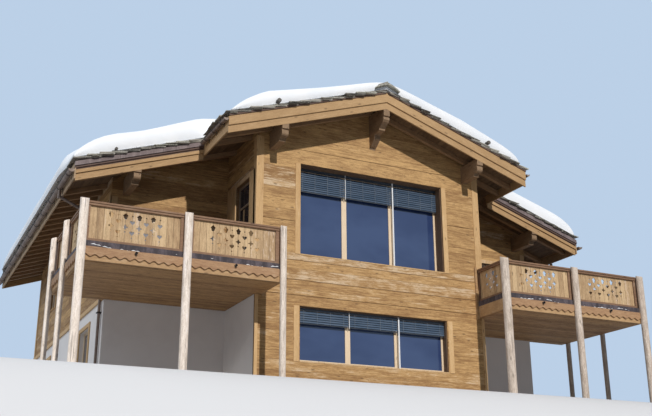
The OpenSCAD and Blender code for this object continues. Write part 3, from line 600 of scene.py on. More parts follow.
# %% Board helpers
slab_quads = np.array([[3, 2, 1, 0], [8, 9, 10, 11]]
                      + [[i, (i + 1) % 4, (i + 1) % 4 + 4, i + 4] for i in range(4)]
                      + [[i + 4, (i + 1) % 4 + 4, (i + 1) % 4 + 8, i + 8] for i in range(4)])


def slabs(corners, out, ease=0.005):
    """Chamfered boards. Corners (n, 4, 3) is each back outline, out (n, 3) the thickness as a vector. The
    front corner is the back one, plus out, plus ease along the two edges that meet there."""
    corners, out = np.asarray(corners, float), np.broadcast_to(np.asarray(out, float), (len(corners), 3))
    square = np.cross(corners[:, 1] - corners[:, 0], corners[:, 3] - corners[:, 0])
    facing = np.einsum("ni,ni->n", square, out)
    corners = np.where((facing < 0)[:, None, None], corners[:, ::-1], corners)

    def unit(v):
        return v / np.maximum(np.linalg.norm(v, axis=-1, keepdims=True), 1e-9)

    ahead, behind = unit(np.roll(corners, -1, 1) - corners), unit(np.roll(corners, 1, 1) - corners)
    front = corners + out[:, None] + ease * (ahead + behind)
    shoulder = corners + out[:, None] - ease * unit(out)[:, None]
    verts = np.concatenate([corners, shoulder, front], 1).reshape(-1, 3)
    faces = (slab_quads[None] + 12 * np.arange(len(corners))[:, None, None]).reshape(-1, 4)
    return verts, faces


def per_board(shape, grey=0.5, tone=(0.15, 0.85), each=12):
    """Random tone, shift and greyness for each board of a shape, repeated for each of its points."""
    count = len(shape[0]) // each
    values = np.stack([luck.uniform(*tone, count), luck.uniform(0, 1, count),
                       np.clip(luck.normal(grey, 0.28, count), 0, 1)], 1)
    return np.repeat(values, each, 0)


def boxes(pairs, ease, down=False):
    """Slabs for upright boxes, given as pairs of opposite corners. Their top is eased; with down, the foot."""
    x0, y0, z0 = np.array(pairs, float).min(1).T
    x1, y1, z1 = np.array(pairs, float).max(1).T
    flat, height = np.zeros_like(z0), z1 - z0
    z = z0 + height if down else z0
    corners = np.stack([np.stack(c, 1) for c in ((x0, y0, z), (x1, y0, z), (x1, y1, z), (x0, y1, z))], 1)
    return slabs(corners, np.stack([flat, flat, -height if down else height], 1), ease)


def prism_faces(n):
    """The faces of a prism between two rings of n points: both ends and the sides."""
    sides = [[i, (i + 1) % n, (i + 1) % n + n, i + n] for i in range(n)]
    return [list(range(n))[::-1], list(range(n, 2 * n))] + sides


print("faces of a board", len(slab_quads))

# %% [markdown]
# Each timber wall is faced with reclaimed boards of uneven width, laid level, with open joints. Drawing
# the joints as a bump would look flat from the side, so every board is a thin solid of its own on the
# wall. Long rows are cut into pieces, and openings are left out of the rows that they cross.

# %% Laying boards


def highest_top(z0, z1, c0, c1, reach, steps=40):
    """The board's top under a slope: from z1 it comes down in steps until some width is left up there."""
    top = z1
    for _ in range(steps):
        ta, tb = reach(top)
        if min(c1, tb) - max(c0, ta) > 0.05 or top - z0 < 0.02:
            break
        top -= (z1 - z0) / steps
    return top


def lay_boards(levels, reach, holes=(), piece_length=(2.2, 4.6), gap=0.002):
    """Boards between the given heights, as (s at bottom left, top left, top right, bottom right, z0, z1).
    reach(z) gives the wall's two ends at z; holes are (s0, s1, z0, z1). Long rows are cut into pieces."""
    shortest_piece = 0.9
    marks = sorted(set(levels) | {v for h in holes for v in h[2:]})
    rows = []
    for z0, z1 in zip(marks[:-1], marks[1:]):
        a, b = reach(z0)
        spans = [(a, b)]
        for s0, s1, h0, h1 in holes:
            if h0 < z1 - 1e-6 and h1 > z0 + 1e-6:
                parts = [part for s, e in spans for part in ((s, min(e, s0)), (max(s, s1), e))]
                spans = [part for part in parts if part[1] - part[0] > 0.02]
        for s, e in spans:
            cuts = [s]
            while e - cuts[-1] > piece_length[1]:
                cuts.append(cuts[-1] + luck.uniform(*piece_length))
            if len(cuts) > 1 and e - cuts[-1] < shortest_piece:
                cuts.pop()
            for c0, c1 in zip(cuts, cuts[1:] + [e]):
                top = highest_top(z0, z1, c0, c1, reach)
                ta, tb = reach(top)
                t0, t1 = max(c0, ta), min(c1, tb)
                if top - z0 > 0.03 and t1 - t0 > 0.04:
                    rows.append((c0 + gap, t0 + gap, t1 - gap, c1 - gap, z0 + gap, top - gap))
    return np.array(rows)


def wall_boards(rows, along, origin, out, thick=0.014):
    """Slabs for rows of boards on the plane through origin, with s running along and z up."""
    along, out = np.asarray(along, float), np.asarray(out, float)
    s, z = rows[:, [0, 3, 2, 1]], rows[:, [4, 4, 5, 5]]
    corners = np.asarray(origin, float) + s[..., None] * along + z[..., None] * upright_z
    depth = (thick + luck.uniform(-0.003, 0.004, len(rows)))[:, None] * out
    return slabs(corners, depth, 0.002)


print("laying boards ready")

# %% [markdown]
# A wall is described by the heights of its joints, the holes in it, and how far it reaches at a given
# height, which lets the top boards follow the slope of the roof.

# %% Reach and joints of a wall


def under_roof(x0, x1):
    """Ends of a wall across the house at height z, where it reaches up to the boarded roof."""
    def reach(z):
        edge = (ridge_z - deck_t / lean - z) / fall
        return max(x0, -edge), min(x1, edge)
    return reach


def uneven(z0, z1, low=0.17, high=0.29):
    """Joint heights from z0 to z1 at uneven distances."""
    steps = luck.uniform(low, high, int((z1 - z0) / low) + 2)
    marks = z0 + np.concatenate([[0], np.cumsum(steps)])
    marks = marks[marks < z1 - 0.6 * low]
    return [round(float(m), 3) for m in marks] + [z1]


print("the bay wall's ends one metre below the ridge", under_roof(-bay_x, bay_x)(ridge_z - 1.0))

# %% [markdown]
# On the bay front the joints' heights follow the real house row by row, because they catch the eye there:
# to the left and to the right of the picture window they don't line up. A few joints gape wider.

# %% Boards of the bay front
left_rows = [3.70, 3.93, 4.25, 4.43, 4.61, 4.78, 4.94, 5.20, 5.36, 5.57, 5.72, 5.97, 6.18, 6.36]
right_rows = [3.70, 3.86, 4.08, 4.35, 4.52, 4.79, 4.95, 5.18, 5.50, 5.72, 5.96, 6.17, 6.36]
low_rows = [0.0, 0.24, 0.47, 0.75, 0.98, 1.24, 1.52, 1.76, 1.99, 2.24, 2.52, 2.70, 2.945, 3.27, 3.50, 3.70]
gable_rows = [6.36, 6.775, 6.98, 7.22, 7.41, 7.66, 7.84, 8.08, 8.36]
wide_joints = [2.52, 2.945, 3.50, 4.61, 5.18, 6.775]
whole, fine = (8.0, 9.0), 0.0012
front_rows = np.concatenate([
    lay_boards(low_rows, lambda z: (-bay_x, bay_x), [(-front_x, front_x, *band_z)], whole, fine),
    lay_boards(left_rows, lambda z: (-bay_x, -front_x), gap=fine),
    lay_boards(right_rows, lambda z: (front_x, bay_x), gap=fine),
    lay_boards(gable_rows, under_roof(-bay_x, bay_x), (), whole, fine)])
front_rows[:, 4] += np.where(np.isin(np.round(front_rows[:, 4] - fine, 3), wide_joints), 0.013, 0.0)
front = wall_boards(front_rows, (1, 0, 0), (0, bay_y, 0), (0, -1, 0))
print("boards on the bay front", len(front_rows))

# %% [markdown]
# The boards are reclaimed, and some rows of the bay front stand out: two weathered ones under the picture
# window, and a brown and a silvery one to its left. High under the gable the boards are darkened as painted
# shade of the roof's overhang. So after the random draw these rows get their tone, shift and greyness by
# their height on the wall.

# %% Tones of the bay front
front_tones = per_board(front, 0.45, (0.35, 0.7))
middle_z = np.repeat(front_rows[:, 4:].mean(1), 12)
middle_x = np.repeat(front_rows[:, 2:4].mean(1), 12)
left_strip = np.repeat(front_rows[:, 2] < -2.2, 12)
greyness = front_tones[:, 2].copy()
front_tones[:, 2] = np.where(middle_z < 3.7, 0.35 + 0.4 * greyness, 0.6 * greyness)
for low, high, where, tones in (
        (2.945, 3.27, True, (0.58, 0.57, 0.85)), (3.50, 3.70, True, (0.62, 0.13, 0.9)),
        (5.72, 6.18, left_strip, (0.18, 0.31, 0.75)), (5.57, 5.72, left_strip, (0.8, 0.7, 1.0)),
        (6.36, 6.78, True, (0.6, 0.2, 0.2))):
    front_tones[where & (middle_z > low) & (middle_z < high)] = tones
# Above 7.2 m the tone drops: painted shade under the gable's overhang.
front_tones[middle_z > 7.2, 0] -= 0.2
front_tones[(np.abs(middle_x) > 2.2) & (middle_z < 5.5), 0] -= 0.12
piece("bay_siding", front, siding, boards=front_tones)

# %% [markdown]
# The wing fronts, the sides of the bay, the long side walls and the rear gable are laid with the same
# function. Only the plane changes, and with it the direction in which the boards run.

# %% Siding of the other walls


def window_holes(places, heights):
    return [(place - window_half, place + window_half, *heights) for place in places]


cross_sets, side_sets, boards_z = [], [], 2.5
for side in (-1, 1):
    ends = sorted((side * bay_x, side * body_x))
    near, far = sorted((side * wing_door[0], side * wing_door[1]))
    rows = lay_boards(uneven(boards_z, 7.0), under_roof(*ends), [(near, far, *wing_door[2:])], (2.6, 4.2))
    cross_sets.append(wall_boards(rows, (1, 0, 0), (0, wing_y, 0), (0, -1, 0)))
    for x, y0, y1, holes in ((bay_x, bay_y, wing_y, [bay_door]),
                             (body_x, wing_y, rear_y, window_holes(side_windows_y, upper_z))):
        top = float(roof_z(x, -deck_t)) - 0.005
        rows = lay_boards(uneven(boards_z, top), lambda z: (y0, y1), holes)
        side_sets.append(wall_boards(rows, (0, 1, 0), (side * x, 0, 0), (side, 0, 0)))
holes = window_holes(rear_windows_x, upper_z)
rows = lay_boards(uneven(boards_z, 8.36), under_roof(-body_x, body_x), holes)
rear_set = wall_boards(rows, (1, 0, 0), (0, rear_y, 0), (0, 1, 0))
for name, group, finish in (("wing_siding", cross_sets, siding), ("side_siding", side_sets, siding_side),
                            ("rear_siding", [rear_set], siding)):
    shape = stack(group)
    piece(name, shape, finish, boards=per_board(shape, 0.4, (0.05, 0.75)))

# %% [markdown]
# The roof is covered with split stone slates in overlapping courses. Each slate rests with its head on
# the boards and its tail on the slates below, so it lies flatter than the roof, and at the verge the
# courses show as a ragged stair. A slate is an eight-sided plate whose corners are shaken a little. Its
# outline is drawn in below, widest halfway up and a little narrower on top, like a split edge.

# %% Slates
plate_points = 24


def slate_plates(u0, u1, y0, y1, w0, w1, thick, side, shake=0.024):
    """Plates from u0, y0 to u1, y1 down the slope, whose underside rises from w0 at the head to w1 at the
    tail. Eight points go round each plate, at its corners and halfway between them, on three levels: the
    underside is drawn in by 28 mm, so that the lower half of a split edge lies in its own shade."""
    n = len(u0)
    across = np.array([0, 0.5, 1, 1, 1, 0.5, 0, 0])
    down = np.array([0, 0, 0, 0.5, 1, 1, 1, 0.5])
    y = y0[:, None] + (y1 - y0)[:, None] * across + luck.uniform(-shake, shake, (n, 8))
    u = u0[:, None] + (u1 - u0)[:, None] * down + luck.uniform(-shake, shake, (n, 8))
    w = w0[:, None] + (w1 - w0)[:, None] * (u - u0[:, None]) / (u1 - u0)[:, None]
    in_u, in_y = u.mean(1, keepdims=True) - u, y.mean(1, keepdims=True) - y
    reach = np.hypot(in_u, in_y)
    levels = [on_slope(u + in_u / reach * back, y + in_y / reach * back, w + thick[:, None] * part, side)
              for back, part in ((0.028, 0.0), (0.0, 0.5), (0.009, 1.0))]
    i = np.arange(8)
    ring = np.stack([i, (i + 1) % 8, (i + 1) % 8 + 8, i + 8], 1)
    base = plate_points * np.arange(n)[:, None]
    faces = [list(f) for f in (np.concatenate([ring, ring + 8])[None] + base[:, :, None]).reshape(-1, 4)]
    faces += [list(f) for f in i[::-1] + base] + [list(f) for f in i + 16 + base]
    return np.concatenate(levels, 1).reshape(-1, 3), faces


def cover_with_slates(side):
    """Courses from the eave to the ridge, ten of them below the step: rows of plates of uneven width."""
    course, length = (eave_x - step_x) / lean / 10, 0.72
    rear_end = rear_verge_y + 0.058
    rows = []
    for tail in np.arange((eave_x + 0.07) / lean, 0.25, -course):
        head = max(tail - length, 0.02)
        front = (verge_y if tail * lean < step_x + 0.1 else wing_verge_y) - 0.075
        y = front + luck.uniform(-0.055, 0.045)
        while y < rear_verge_y - 0.1:
            width = luck.uniform(0.28, 0.62)
            end = y + width if rear_end - (y + width) > 0.25 else rear_end
            at_step = abs(tail * lean - step_x) < 0.1 and y < wing_verge_y
            out = luck.uniform(0.0, 0.09) if at_step else 0.0
            rows.append((head, tail + luck.uniform(-0.07, 0.03) + out, y + 0.004, end - 0.004,
                         luck.uniform(0.026, 0.052), luck.uniform(-0.022, 0.006) + out * 0.4))
            if y < front + 0.1 and luck.uniform() < 0.6:
                rows.append((tail - 0.30, tail - luck.uniform(0.02, 0.10), y - 0.02, y + 0.3,
                             luck.uniform(0.016, 0.026), -0.050))
            y = end
    u0, u1, y0, y1, thick, rise = np.array(rows).T
    return slate_plates(u0, u1, y0, y1, np.where(rise < -0.04, 0.012, 0.002), 0.094 + rise, thick, side)


for side, word in ((-1, "left"), (1, "right")):
    shape = cover_with_slates(side)
    piece("slate_courses_" + word, shape, slate, ["slates_" + word],
          boards=per_board(shape, 0.4, (0.0, 1.0), plate_points))

# %% [markdown]
# Two layers of slates lap over the ridge from both sides. At the front three smaller pairs are stacked on
# them as a little cap, which ends the ridge and holds it down.

# %% Ridge slates
cap_y = np.arange(verge_y - 0.07, rear_verge_y - 0.4, 0.46)
cap_sets = []
for side in (-1, 1):
    for lift, length in ((0.138, 0.44), (0.180, 0.33)):
        y0 = cap_y + luck.uniform(-0.02, 0.02, len(cap_y)) + 0.2
        y1, w = np.minimum(y0 + 0.5, rear_verge_y + 0.05), np.full(len(y0), lift)
        thick = luck.uniform(0.03, 0.042, len(y0))
        cap_sets.append(slate_plates(-w * fall, length - w * fall, y0, y1, w, w - 0.012, thick, side))
    for level, (size, front) in enumerate(((0.34, -6.47), (0.27, -6.44), (0.19, -6.41))):
        at = 0.222 + 0.042 * level
        one = [np.array([v]) for v in (-at * fall - 0.015, size, front, front + 0.42, at, at - 0.03, 0.04)]
        cap_sets.append(slate_plates(*one, side, 0.02))
shape = stack(cap_sets)
piece("ridge_cap_slates", shape, slate,
      boards=per_board(shape, 0.5, (0.2, 1.0), plate_points))

# %% [markdown]
# Half a metre of snow and more has settled on the slates. It could be sculpted, but a height over a grid is
# easier to steer. Along every edge a rounded profile says how far the surface stands back and what share
# of the depth it has reached: steep at the verges and in the sun on the right, long and round on the
# left, and thin as a feather along the left step.

# %% Profiles of the snow's edges
steep_back = np.array([0.030, 0.008, 0.0, 0.010, 0.035, 0.080, 0.15, 0.25, 0.38, 0.56, 0.80])
steep_share = np.array([0.0, 0.12, 0.27, 0.42, 0.56, 0.67, 0.77, 0.86, 0.93, 0.98, 1.0])
round_back = np.array([0.030, 0.006, 0.0, 0.030, 0.080, 0.15, 0.25, 0.39, 0.58, 0.84, 1.15])
round_share = np.array([0.0, 0.08, 0.16, 0.25, 0.35, 0.46, 0.58, 0.71, 0.84, 0.95, 1.0])
tall_back = np.array([0.05, 0.02, 0.0, 0.0, 0.01, 0.03, 0.07, 0.15, 0.30, 0.55, 1.15])
tall_share = np.array([0.0, 0.15, 0.32, 0.50, 0.66, 0.77, 0.86, 0.925, 0.965, 0.99, 1.0])
thin_back = np.array([0.0, 0.02, 0.05, 0.10, 0.17, 0.26, 0.38, 0.53, 0.72, 0.95, 1.2])
thin_share = np.array([0.0, 0.03, 0.07, 0.13, 0.22, 0.33, 0.46, 0.60, 0.75, 0.90, 1.0])


def ripple(x, y, seed):
    """Gentle hollows: a few sine waves of different direction and length."""
    pick = np.random.default_rng(seed)
    total = np.zeros_like(x)
    for _ in range(7):
        a, k, p = pick.uniform(0, math.tau), pick.uniform(0.5, 2.6), pick.uniform(0, math.tau)
        total += np.sin((x * math.cos(a) + y * math.sin(a)) * k + p) / k
    return total / 4


def half_lines(step_at, step_back, step_share, eave_at, eave_back, eave_share):
    """Grid lines from the ridge outwards, and the share of snow of the front part and of the body on each:
    15 lines up to the step, 11 over its edge, 12 beyond it and 11 over the eave."""
    lines = [np.linspace(0, step_at - 1.25, 16)[:-1], (step_at - step_back)[::-1],
             np.linspace(step_at + 0.2, eave_at - 1.3, 12), (eave_at - eave_back)[::-1]]
    front = np.concatenate([np.ones(15), step_share[::-1], np.zeros(12), np.zeros(11)])
    body = np.concatenate([np.ones(15), np.ones(11), np.ones(12), eave_share[::-1]])
    return np.concatenate(lines), front, body


def ease(value, low, high):
    """A smooth step from 0 at low to 1 at high."""
    t = np.clip((value - low) / (high - low), 0, 1)
    return t * t * (3 - 2 * t)


print("stations of a profile", len(steep_back))

# %% [markdown]
# The roof is two rectangles, a narrow front part and the wide body. The grid's lines crowd together near
# their edges, where the surface bends over. The larger of the two parts' shares is taken, which carries
# the snow smoothly over the step between them. The depth grows towards the eaves, in gentle waves.

# %% Depth of the snow
left_x, left_front, left_body = half_lines(4.82, thin_back, thin_share, 8.43, round_back, round_share)
right_x, right_front, right_body = half_lines(4.64, steep_back, steep_share, 8.24, steep_back, steep_share)
all_x = np.concatenate([-left_x[:0:-1], right_x])
front_share_x = np.concatenate([left_front[:0:-1], right_front])
body_share_x = np.concatenate([left_body[:0:-1], right_body])
line_y = np.concatenate([-6.355 + steep_back, np.linspace(-5.45, -4.5, 6), -4.33 + steep_back,
                         np.linspace(-3.4, 7.8, 42), (8.72 - steep_back)[::-1]])
front_share_y = np.concatenate([steep_share, np.ones(6 + 11 + 42), steep_share[::-1]])
body_share_y = np.concatenate([np.zeros(11 + 6), steep_share, np.ones(42), steep_share[::-1]])
snow_x, snow_y = np.meshgrid(all_x, line_y)
share = np.maximum(front_share_x[None] * front_share_y[:, None], body_share_x[None] * body_share_y[:, None])
piled = np.interp(snow_y, [-6.36, -6.2, -5.6, -5.0, -4.35], [0.0, 0.15, 0.27, 0.27, 0.2])
ramp = piled * (1 - (1 - front_share_x[None]) ** 8) * (snow_x < 0)
share = np.maximum(share, ramp * front_share_y[:, None])
left_depth = np.interp(-snow_x, [0, 2.0, 4.0, 4.9, 5.6, 6.6, 8.4], [0.42, 0.47, 0.57, 0.74, 0.71, 0.64, 0.68])
right_depth = np.interp(snow_x, [0, 0.5, 1.1, 1.9, 2.7, 3.4, 4.2, 5.2, 8.4],
                        [0.43, 0.49, 0.55, 0.58, 0.61, 0.56, 0.53, 0.56, 0.62])
depth = np.where(snow_x < 0, left_depth, right_depth) + 0.045 * ripple(snow_x, snow_y, 3) * share
bed = roof_z(np.sqrt(snow_x ** 2 + 0.02 ** 2), slate_t + 0.004)
crest = roof_z(np.sqrt(snow_x ** 2 + 0.45 ** 2), slate_t + 0.004) + 0.06 * np.exp(-(snow_x / 0.8) ** 2)
snow_z = bed + depth / lean * share + (crest - bed) * np.clip(share * 1.2 - 0.2, 0, 1)
print("grid", snow_x.shape, "deepest", round(float(depth.max()), 2))

# %% [markdown]
# The left eave has slid out over its gutter and has broken off there in an upright face, and the right
# wing's front bank hangs over the slates. The same grid, laid on the slates, closes the snow below.
# Before the first row of the body only the front part's columns are kept.

# %% Snow blanket
wobble = 0.02 * ripple(snow_x * 2.3, snow_y * 2.3, 11) * (share > 0)
along_eave = ease(snow_y, -3.9, -2.7) * ease(8.5 - snow_y, 0.0, 0.4) * (snow_x < -7)
slid = 0.14 * along_eave * (1 - body_share_x[None])
upright = np.interp(body_share_x, round_share, round_back) - np.interp(body_share_x, tall_share, tall_back)
upright = along_eave * upright * (body_share_x > 0) * (body_share_x < 1)
hung = ease(snow_x, 4.9, 5.2) * (1 - body_share_y[:, None]) * (snow_y > -4.4)
move_x, move_y, move_z = wobble * np.sign(snow_x) - slid, -0.13 * hung, -0.07 * hung ** 3 - 0.3 * slid
top_z = snow_z + move_z - fall / lean * upright
top_points = np.stack([snow_x + move_x - upright, snow_y + move_y, top_z], -1).reshape(-1, 3)
bed_points = np.stack([snow_x - slid, snow_y + move_y, bed + move_z], -1).reshape(-1, 3)
cells = grid_faces(*snow_x.shape)
rows, columns = cells // len(all_x), cells % len(all_x)
first_body_row, step_columns = 17, (len(left_x) - 1 - 25, len(left_x) - 1 + 25)
over_front = ((columns >= step_columns[0]) & (columns <= step_columns[1])).all(1)
cells = cells[(rows.min(1) >= first_body_row) | over_front]
lifted = (snow_z - bed).reshape(-1) > 1e-6
bottom_of = np.where(lifted, np.arange(snow_x.size) + snow_x.size, np.arange(snow_x.size))
top_points[~lifted] = bed_points[~lifted]
under = bottom_of[cells][:, ::-1]
solid = [list(c) for c in cells] + [list(c) for c in under if len(set(c)) > 2]
piece("snow_blanket", (np.concatenate([top_points, bed_points]), solid), snow,
      ["snow_left", "snow_right"], smooth=60)

# %% [markdown]
# Under the slates a folded sheet covers the verge. On the wings it's a band with a rolled lower edge, and
# below it a batten stands back, coloured near black as painted shade under the band. Over the gable only a
# narrow dark strip shows, painted shade under the slates. All of them are bars that follow the rake of the
# roof.

# %% Verge sheets


def raked_bars(spans):
    """Bars along the rake, given as x0, x1, depths d0 and d1 below the boards' top, and y0 to y1."""
    r = np.array(spans, float)
    x, d, zero = r[:, [0, 1, 1, 0]], r[:, [2, 2, 3, 3]], np.zeros((len(r), 4))
    corners = np.stack([x, zero + r[:, 5:6], ridge_z - fall * np.abs(x) - d], -1)
    return slabs(corners, np.stack([r[:, 0] * 0, r[:, 4] - r[:, 5], r[:, 0] * 0], 1), 0.003)


# The battens and the gable's narrow strip take the near-black finish as painted shade.
sheet_spans, batten_spans = [], []
for side in (-1, 1):
    cuts = np.linspace(step_x + 0.002, 8.402, 4)
    for a, b in zip(cuts[:-1], cuts[1:]):
        sheet_spans += [(side * (a + 0.001), side * (b - 0.001), -0.01, 0.066, -4.366, -4.29),
                        (side * (a + 0.001), side * (b - 0.001), 0.066, 0.122, -4.376, -4.30)]
    batten_spans += [(side * (step_x + 0.002), side * 8.402, 0.122, 0.18, -4.345, -4.29),
                     (side * (step_x + 0.002), side * 8.402, 0.18, 0.232, -4.310, -4.29),
                     (side * 0.03, side * step_x, -0.045, 0.016, -6.392, -6.33)]
piece("verge_sheets", raked_bars(sheet_spans), flashing_metal, ["verge_flashings"])
piece("verge_battens_painted_shade", raked_bars(batten_spans), painted_shade_batten_wood)

# %% [markdown]
# The balustrades are upright planks with cut-out ornament: a bud over a cross and a dot on one joint,
# two hearts between dots on the next. A carpenter saws half of each ornament into the edge of a plank,
# so the full shape appears where two planks meet. The same is done here, with each half shape a short
# curve of depth over height.

# %% Cut-out ornament
plank_t, plank_low, plank_high, plank_back = 0.020, 2.99, 3.80, 0.102


def half_dot(z, r=0.017):
    """Half a round hole: points on half a circle."""
    t = np.linspace(0, math.pi, 5)
    return np.stack([r * np.sin(t), z - r * np.cos(t)], 1)


def half_heart(z, size=0.060):
    """Half a heart: its width goes with the cube of a sine, its height with a short sum of cosines."""
    t = np.linspace(math.pi, 0, 10)
    height = (13 * np.cos(t) - 5 * np.cos(2 * t) - 2 * np.cos(3 * t) - np.cos(4 * t)) / 16
    return np.stack([size * np.sin(t) ** 3, z + size * height], 1)


def half_cross(z, size=0.066):
    """Half a four-petalled cross: the radius swells at each quarter turn."""
    t = np.linspace(0, math.pi, 13)
    r = size * (0.42 + 0.58 * np.cos(2 * t) ** 2)
    return np.stack([r * np.sin(t), z - r * np.cos(t)], 1)


def half_bud(z):
    """Half a bud on its calyx, as a few points."""
    points = [(0, -0.082), (0.026, -0.074), (0.042, -0.045), (0.040, -0.012), (0.060, -0.002), (0.059, 0.024),
              (0.036, 0.036), (0.024, 0.058), (0, 0.082)]
    return np.array(points) + [0, z]


def ornament(joint):
    """The cut-outs of one joint, from the lowest up."""
    if joint is None:
        return np.empty((0, 2))
    if joint % 2:
        return np.concatenate([half_dot(3.115), half_heart(3.24), half_heart(3.505), half_dot(3.66)])
    return np.concatenate([half_dot(3.255), half_cross(3.375), half_bud(3.65)])


print("points along a carved edge", len(ornament(0)), len(ornament(1)))

# %% [markdown]
# A plank's outline runs up one such edge and down the other, and is pushed through the plank's thickness.
# Each run between two posts has its ornament in the middle, and plain planks towards the posts.

# %% Balustrade planks


def planks_of_run(length):
    """For a run of the given length: each plank's outline as (s, z) points."""
    count = round(length / 0.172)
    middle = count / 2
    outlines = []
    for i in range(count):
        edges = []
        for joint in (i, i + 1):
            carved = 0 < joint < count and abs(joint - middle) <= max(1.0, count * 0.31)
            edges.append(ornament(joint + count // 2 if carved else None))
        a, b = i * length / count + 0.003, (i + 1) * length / count - 0.003
        left = np.concatenate([[(0, plank_low)], edges[0], [(0, plank_high)]]) + [a, 0]
        right = (np.concatenate([[(0, plank_low)], edges[1], [(0, plank_high)]]) * [-1, 1] + [b, 0])[::-1]
        outlines.append(np.concatenate([left, right]))
    return outlines


def pushed(outline, origin, along, out, thick):
    """A prism over an outline of (s, z) points, from a plane through origin, thick along out."""
    back = np.asarray(origin, float) + outline[:, :1] * np.asarray(along, float) + outline[:, 1:] * upright_z
    return np.concatenate([back, back + np.asarray(out, float) * thick]), prism_faces(len(outline))


plank_sets, plank_tones = [], []
stile, corner = 0.170, balcony_y + 0.112 + 0.065
for side in (-1, 1):
    runs = [((post_x[0] + stile, post_x[1] - stile), "front"),
            ((post_x[1] + stile, post_x[2] - stile), "front"),
            ((corner, post_y[0] - stile), "outer"), ((post_y[0] + stile, post_y[1] - stile), "outer"),
            ((corner, bay_y - 0.095), "inner"), ((body_x + 0.065, balcony_x - 0.112 - 0.065), "end")]
    for (start, stop), place in runs:
        if place == "front":
            origin, along, out = (side * start, balcony_y + plank_back, 0), (side, 0, 0), (0, -1, 0)
        elif place == "outer":
            origin, along, out = (side * (balcony_x - plank_back), start, 0), (0, 1, 0), (side, 0, 0)
        elif place == "inner":
            origin, along, out = (side * (inner_x + plank_back), start, 0), (0, 1, 0), (-side, 0, 0)
        else:
            origin, along, out = (side * start, end_y - plank_back, 0), (side, 0, 0), (0, 1, 0)
        for outline in planks_of_run(stop - start):
            plank = pushed(outline, origin, along, out, plank_t + luck.uniform(-0.001, 0.001))
            plank_sets.append(plank)
            plank_tones.append(per_board(plank, 0.35, (0.2, 0.9), len(plank[0])))
piece("carved_planks", stack(plank_sets), plank_wood, ["balcony_panels"],
      boards=np.concatenate(plank_tones))
print("planks", len(plank_sets))

# %% [markdown]
# The posts are debarked logs, split so that a flat side lies against the balcony. A turned cylinder would
# look like pipe. Here the radius shrinks a little in slow waves around and along the log, each log with
# its own waves, and the top edge is eased. The short square post at the bay is a plain sawn timber.

# %% Half-log posts
post_r, post_back, post_top = 0.105, 0.06, 3.945
level = np.concatenate([[0.0], np.linspace(0.12, 3.82, 20), [post_top - 0.008, post_top]])
draw_in = np.concatenate([np.ones(22), [0.95]])


def half_log(x, y, out, radius, seed):
    """Rings of a half-log whose flat side faces back at x, y; out is the way its round side faces."""
    pick = np.random.default_rng(seed)
    back = min(post_back, 0.163 - radius)
    a, z = np.meshgrid(np.linspace(-1, 1, 25) * math.acos(-back / radius), level)
    dents = sum(pick.uniform(0.3, 1.0)
                * np.sin(a * pick.integers(1, 6) + z * pick.uniform(0.3, 3.0) + pick.uniform(0, 6))
                for _ in range(7)) / 4.5
    flutes = pick.random(a.shape[1])[None] + 0.5 * pick.random(a.shape)
    r = radius * (1 - 0.045 * np.abs(dents) - 0.018 * flutes) * draw_in[:, None]
    forth, aside = back + r * np.cos(a), r * np.sin(a)
    ox, oy = out
    z = np.where(z > 3.9, z - 0.34 * forth, z)
    points = np.stack([x + forth * ox - aside * oy, y + forth * oy + aside * ox, z], -1).reshape(-1, 3)
    n, m = z.shape
    faces = grid_faces(n, m, wrap=True).tolist() + [list(range(m))[::-1], list(range((n - 1) * m, n * m))]
    return points, faces


post_sets, post_tones, square_posts = [], [], []
odd_radius = {-post_x[0]: 0.085, post_x[0]: 0.130}
for side in (-1, 1):
    places = [(side * x, balcony_y, (0, -1), odd_radius.get(side * x, post_r)) for x in post_x[::-1]]
    places += [(side * balcony_x, y, (side, 0), 0.078) for y in post_y]
    for x, y, out, radius in places:
        post_sets.append(half_log(x, y, out, radius, len(post_sets) + 20))
        # Posts on the right get a much darker tone and greyness, partly painted shade of that side.
        tone, pale = (luck.uniform(0.65, 0.85), 0.6) if side < 0 else (luck.uniform(0.10, 0.25), 0.15)
        if x == -post_x[0]:
            tone, pale = 0.55, 0.3
        post_tones.append(np.tile([tone, luck.uniform(), pale], (len(post_sets[-1][0]), 1)))
    low = (min(side * (inner_x - 0.072), side * inner_x), bay_y - 0.062, 2.39)
    square_posts.append((low, np.add(low, (0.072, 0.062, 3.965 - 2.39))))
piece("log_posts", stack(post_sets), log_wood, ["balcony_posts"],
      boards=np.concatenate(post_tones), smooth=40)
piece("square_posts", boxes(square_posts, 0.004), edge_wood)

# %% [markdown]
# The board in front of each balcony beam is sawn into waves. Its lower edge is one cosine along the board.
# Rows of points follow it on the front, on a small chamfer and on the back, and quads join the rows.

# %% Scalloped boards
wave_length, wave_mid_z, wave_swing, board_top_z = 0.238, 2.558, 0.028, 2.77


def wave_board(origin, along, out, length, thick=0.042):
    """A board whose lower edge is a cosine along it, with a whole number of waves. Six rows of points go
    round its section: back, shoulder and face of the top, then face, shoulder and back of the wave."""
    count = max(1, round(length / wave_length))
    s = np.linspace(0, length, 14 * count + 1)
    edge, top = wave_mid_z + wave_swing * np.cos(s / length * count * math.tau), np.full_like(s, board_top_z)
    rows = [(top, 0.0), (top, thick - 0.004), (top - 0.004, thick),
            (edge + 0.005, thick), (edge, thick - 0.005), (edge, 0.0)]
    line = np.asarray(origin, float) + s[:, None] * np.asarray(along, float)
    points = [line + z[:, None] * upright_z + t * np.asarray(out, float) for z, t in rows]
    n = len(s)
    faces = grid_faces(6, n).tolist() + [[i, i + 1, 5 * n + i + 1, 5 * n + i] for i in range(n - 1)]
    faces += [[k * n for k in range(6)], [k * n + n - 1 for k in range(6)][::-1]]
    return np.stack(points), faces


